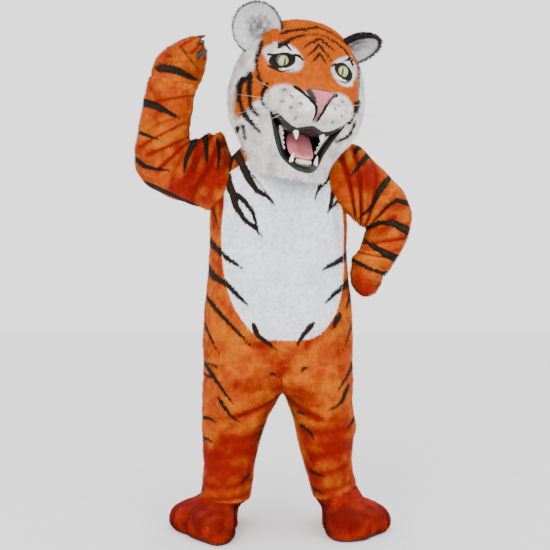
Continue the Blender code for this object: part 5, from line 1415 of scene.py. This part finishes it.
def nose_material():
    """Pebbled pink rubber, painted black in the nostrils and along its top and side edges."""
    material = plain_material("nose_rubber", (0.520, 0.125, 0.150), 0.50, 420.0, 0.0010, spread=0.18)
    tree = material.node_tree
    place = added(tree, "ShaderNodeAttribute", {}, attribute_name="own_place").outputs["Vector"]
    split = added(tree, "ShaderNodeSeparateXYZ", {"Vector": place})

    def sum_of(operation, *values):
        return added(tree, "ShaderNodeMath", dict(enumerate(values)), operation=operation).outputs[0]

    across, up = sum_of("ABSOLUTE", split.outputs["X"]), split.outputs["Z"]
    aside = sum_of("DIVIDE", sum_of("SUBTRACT", across, 0.70), 0.28)
    above = sum_of("DIVIDE", sum_of("ADD", up, 0.04), 0.30)
    away = sum_of("ADD", sum_of("MULTIPLY", aside, aside), sum_of("MULTIPLY", above, above))
    wing = sum_of("SUBTRACT", sum_of("ADD", across, sum_of("MULTIPLY", up, -0.42)), 0.46)
    dark = sum_of("MAXIMUM", sum_of("SUBTRACT", 1.0, away), sum_of("MULTIPLY", wing, 3.0))
    dark = sum_of("MAXIMUM", dark, sum_of("MULTIPLY", sum_of("SUBTRACT", up, 0.82), 4.0))
    pink = next(node for node in tree.nodes if node.type == "VALTORGB").outputs["Color"]
    colour = mixed(tree, ranged(tree, dark, -0.15, 0.35, 0, 1), pink, (0.006, 0.004, 0.005, 1))
    wired(tree, tree.nodes["Principled BSDF"], {"Base Color": colour})
    return material


for side in (RIGHT, LEFT):
    x = side * EYE_X
    middle = (x, face_y(x, EYE_Z) + EYE_SINK, EYE_Z)
    eye = cut(ball(f"eye_{SIDE_NAMES[side]}_ball", middle, (EYE_RADIUS,) * 3), HEAD_CORE)
    own_place(eye, middle, EYE_RADIUS)
    hard_piece(eye, f"eye_{SIDE_NAMES[side]}", eye_material((0.03 - 0.03 * side, -0.02)))
middle = (0, face_y(0, NOSE_Z) + NOSE_SINK, NOSE_Z)
nose = cut(keystone("nose_moulding", middle, NOSE_SIZE), HEAD_CORE)
own_place(nose, middle, NOSE_SIZE)
hard_piece(nose, "nose", nose_material())
NYLON = plain_material("whisker_nylon", (0.420, 0.420, 0.410), 0.35, 60.0, 0.0001)
for side in (RIGHT, LEFT):
    for i, (root_x, root_z, tip_x, tip_y, tip_z) in enumerate(WHISKERS):
        root = np.array((side * root_x, face_y(side * root_x, root_z) + 0.004, root_z))
        tip = np.array((side * tip_x, tip_y, tip_z))
        share = np.linspace(0, 1, WHISKER_ROWS)[:, None]
        line = root + (tip - root) * share - (0, 0, WHISKER_BOW) * share**2
        angle = 2 * math.pi * turns(WHISKER_SIDES)
        section = np.stack((0 * angle, np.cos(angle), np.sin(angle)), -1)
        rings = line[:, None] + section * (WHISKER_RADIUS * (1 - share) ** 0.5)[..., None]
        whisker = cut(solid_grid(f"whisker_{SIDE_NAMES[side]}_{i + 1}_thread", rings, HEAD_MATRIX), HEAD_CORE)
        hard_piece(whisker, f"whisker_{SIDE_NAMES[side]}_{i + 1}", NYLON)


# The ears are round dishes of stiff foam covered in plush, black behind and at the rim and white inside.
# They are glued to the head's top corners, and the left one has folded back.

EAR_RINGS = table("radius depth", """
    0 30; 30 27; 56 18; 76 4; 87 -14
""")
EARS = {
    RIGHT: ((-0.182, -0.030, 0.190), math.radians(-28), math.radians(6), math.radians(-32)),
    LEFT: ((0.176, -0.030, 0.186), math.radians(30), math.radians(52), math.radians(26)),
}
EAR_TALL, EAR_WALL, EAR_ROWS, EAR_TURNS = 1.06, 0.008, 23, 96
# The ears' white inside, the grey of painted shade in their hollow middle, and their black back.
EAR_WHITE, EAR_SHADE_GREY = np.array((0.780, 0.780, 0.800)), np.array((0.250, 0.245, 0.250))
EAR_BACK = np.array((0.040, 0.038, 0.040))


def ear_point(place, turn):
    """A point of an ear's back, by ring and share of a turn."""
    radius, depth = along(EAR_RINGS["radius"], place), along(EAR_RINGS["depth"], place)
    angle = 2 * math.pi * turn
    return np.stack((radius * np.sin(angle), depth, EAR_TALL * radius * np.cos(angle)), -1)


for side, (middle, turned, leaned, rolled) in EARS.items():
    matrix = (HEAD_MATRIX @ Matrix.Translation(middle) @ Matrix.Rotation(turned, 4, "Z")
              @ Matrix.Rotation(leaned, 4, "X") @ Matrix.Rotation(rolled, 4, "Y"))
    places = np.linspace(0.05, len(EAR_RINGS["radius"]) - 1, EAR_ROWS)
    place, turn = grid_of(places, turns(EAR_TURNS))
    behind, inside = (moved(ear_point, place, turn, depth) for depth in (0, EAR_WALL))
    behind[0], inside[0] = to_pole(behind[0]), to_pole(inside[0])
    rim = behind[-1] + (inside[-1] - behind[-1]) * np.array((0.25, 0.5, 0.75))[:, None, None]
    skin = np.concatenate((behind, rim, inside[::-1]))
    ear = cut(solid_grid(f"ear_{SIDE_NAMES[side]}_foam", skin, matrix, ends=False), HEAD_CORE)
    points, normal = mesh_points(ear)
    local, normal = in_own_frame(matrix, points, normal)
    radius = np.hypot(local[:, 0], local[:, 2] / EAR_TALL)
    toward = np.clip(-normal[:, 1] * 4, 0, 1)
    # Painted shade: the hollow middle of the ear's inside is darkened from white to grey.
    grey = np.clip((0.055 - radius) / 0.025, 0, 1) * (0.75 + unevenness(local, 60.0, 1.0, 4.0))
    colour = blended(EAR_WHITE, EAR_SHADE_GREY, grey)
    outline = (0.083 if side == RIGHT else 0.078) - radius
    colour = blended(BLACK if side == LEFT else EAR_BACK, colour, toward * np.clip(outline / 0.004, 0, 1))
    nap = np.stack((local[:, 0] * 8, 0 * radius, 0.6 + 0 * radius), -1) @ np.array(matrix)[:3, :3].T
    painted(ear, colour, -20.0, nap, 1.0)
    dressed(ear, (f"ear_{SIDE_NAMES[side]}",), 70 + side, density=90000.0, length=0.0085,
            width=0.0026)

for leftover in (CORE, HEAD_CORE, STRAND):
    bpy.data.objects.remove(leftover)


# The photograph's setting: a plain pale floor and soft studio light from the front and above.

floor_mesh = bpy.data.meshes.new("floor")
floor_mesh.from_pydata([(-6, -6, -SHOULDER_HEIGHT), (6, -6, -SHOULDER_HEIGHT), (6, 5, -SHOULDER_HEIGHT),
                        (-6, 5, -SHOULDER_HEIGHT)], [], [(0, 1, 2, 3)])
floor = linked("floor", floor_mesh)
floor_mesh.materials.append(plain_material("pale_floor", (0.86, 0.86, 0.87), 0.85, 8.0, 0.0002, spread=0.02))

world = bpy.data.worlds.new("studio")
bpy.context.scene.world = world
world.use_nodes = True
world.node_tree.nodes["Background"].inputs["Color"].default_value = (1.0, 1.0, 1.0, 1.0)
world.node_tree.nodes["Background"].inputs["Strength"].default_value = 1.95
for name, place, power, size in (("key", (-1.6, -3.6, 2.6), 90.0, 2.4),
                                 ("fill", (2.8, -3.0, 1.0), 35.0, 3.0)):
    light = linked(name, bpy.data.lights.new(name, "AREA"))
    light.data.energy, light.data.size = power, size
    light.location = place
    light.rotation_euler = (Vector((0, 0, -0.2)) - light.location).to_track_quat("-Z", "Y").to_euler()

camera = linked("camera", bpy.data.cameras.new("camera"))
camera.data.sensor_width, camera.data.lens = 36.0, 81.8
camera.location = (-0.011, -4.5, -0.05)
camera.rotation_euler = (math.radians(90 - 5.42), 0, 0)
bpy.context.scene.camera = camera
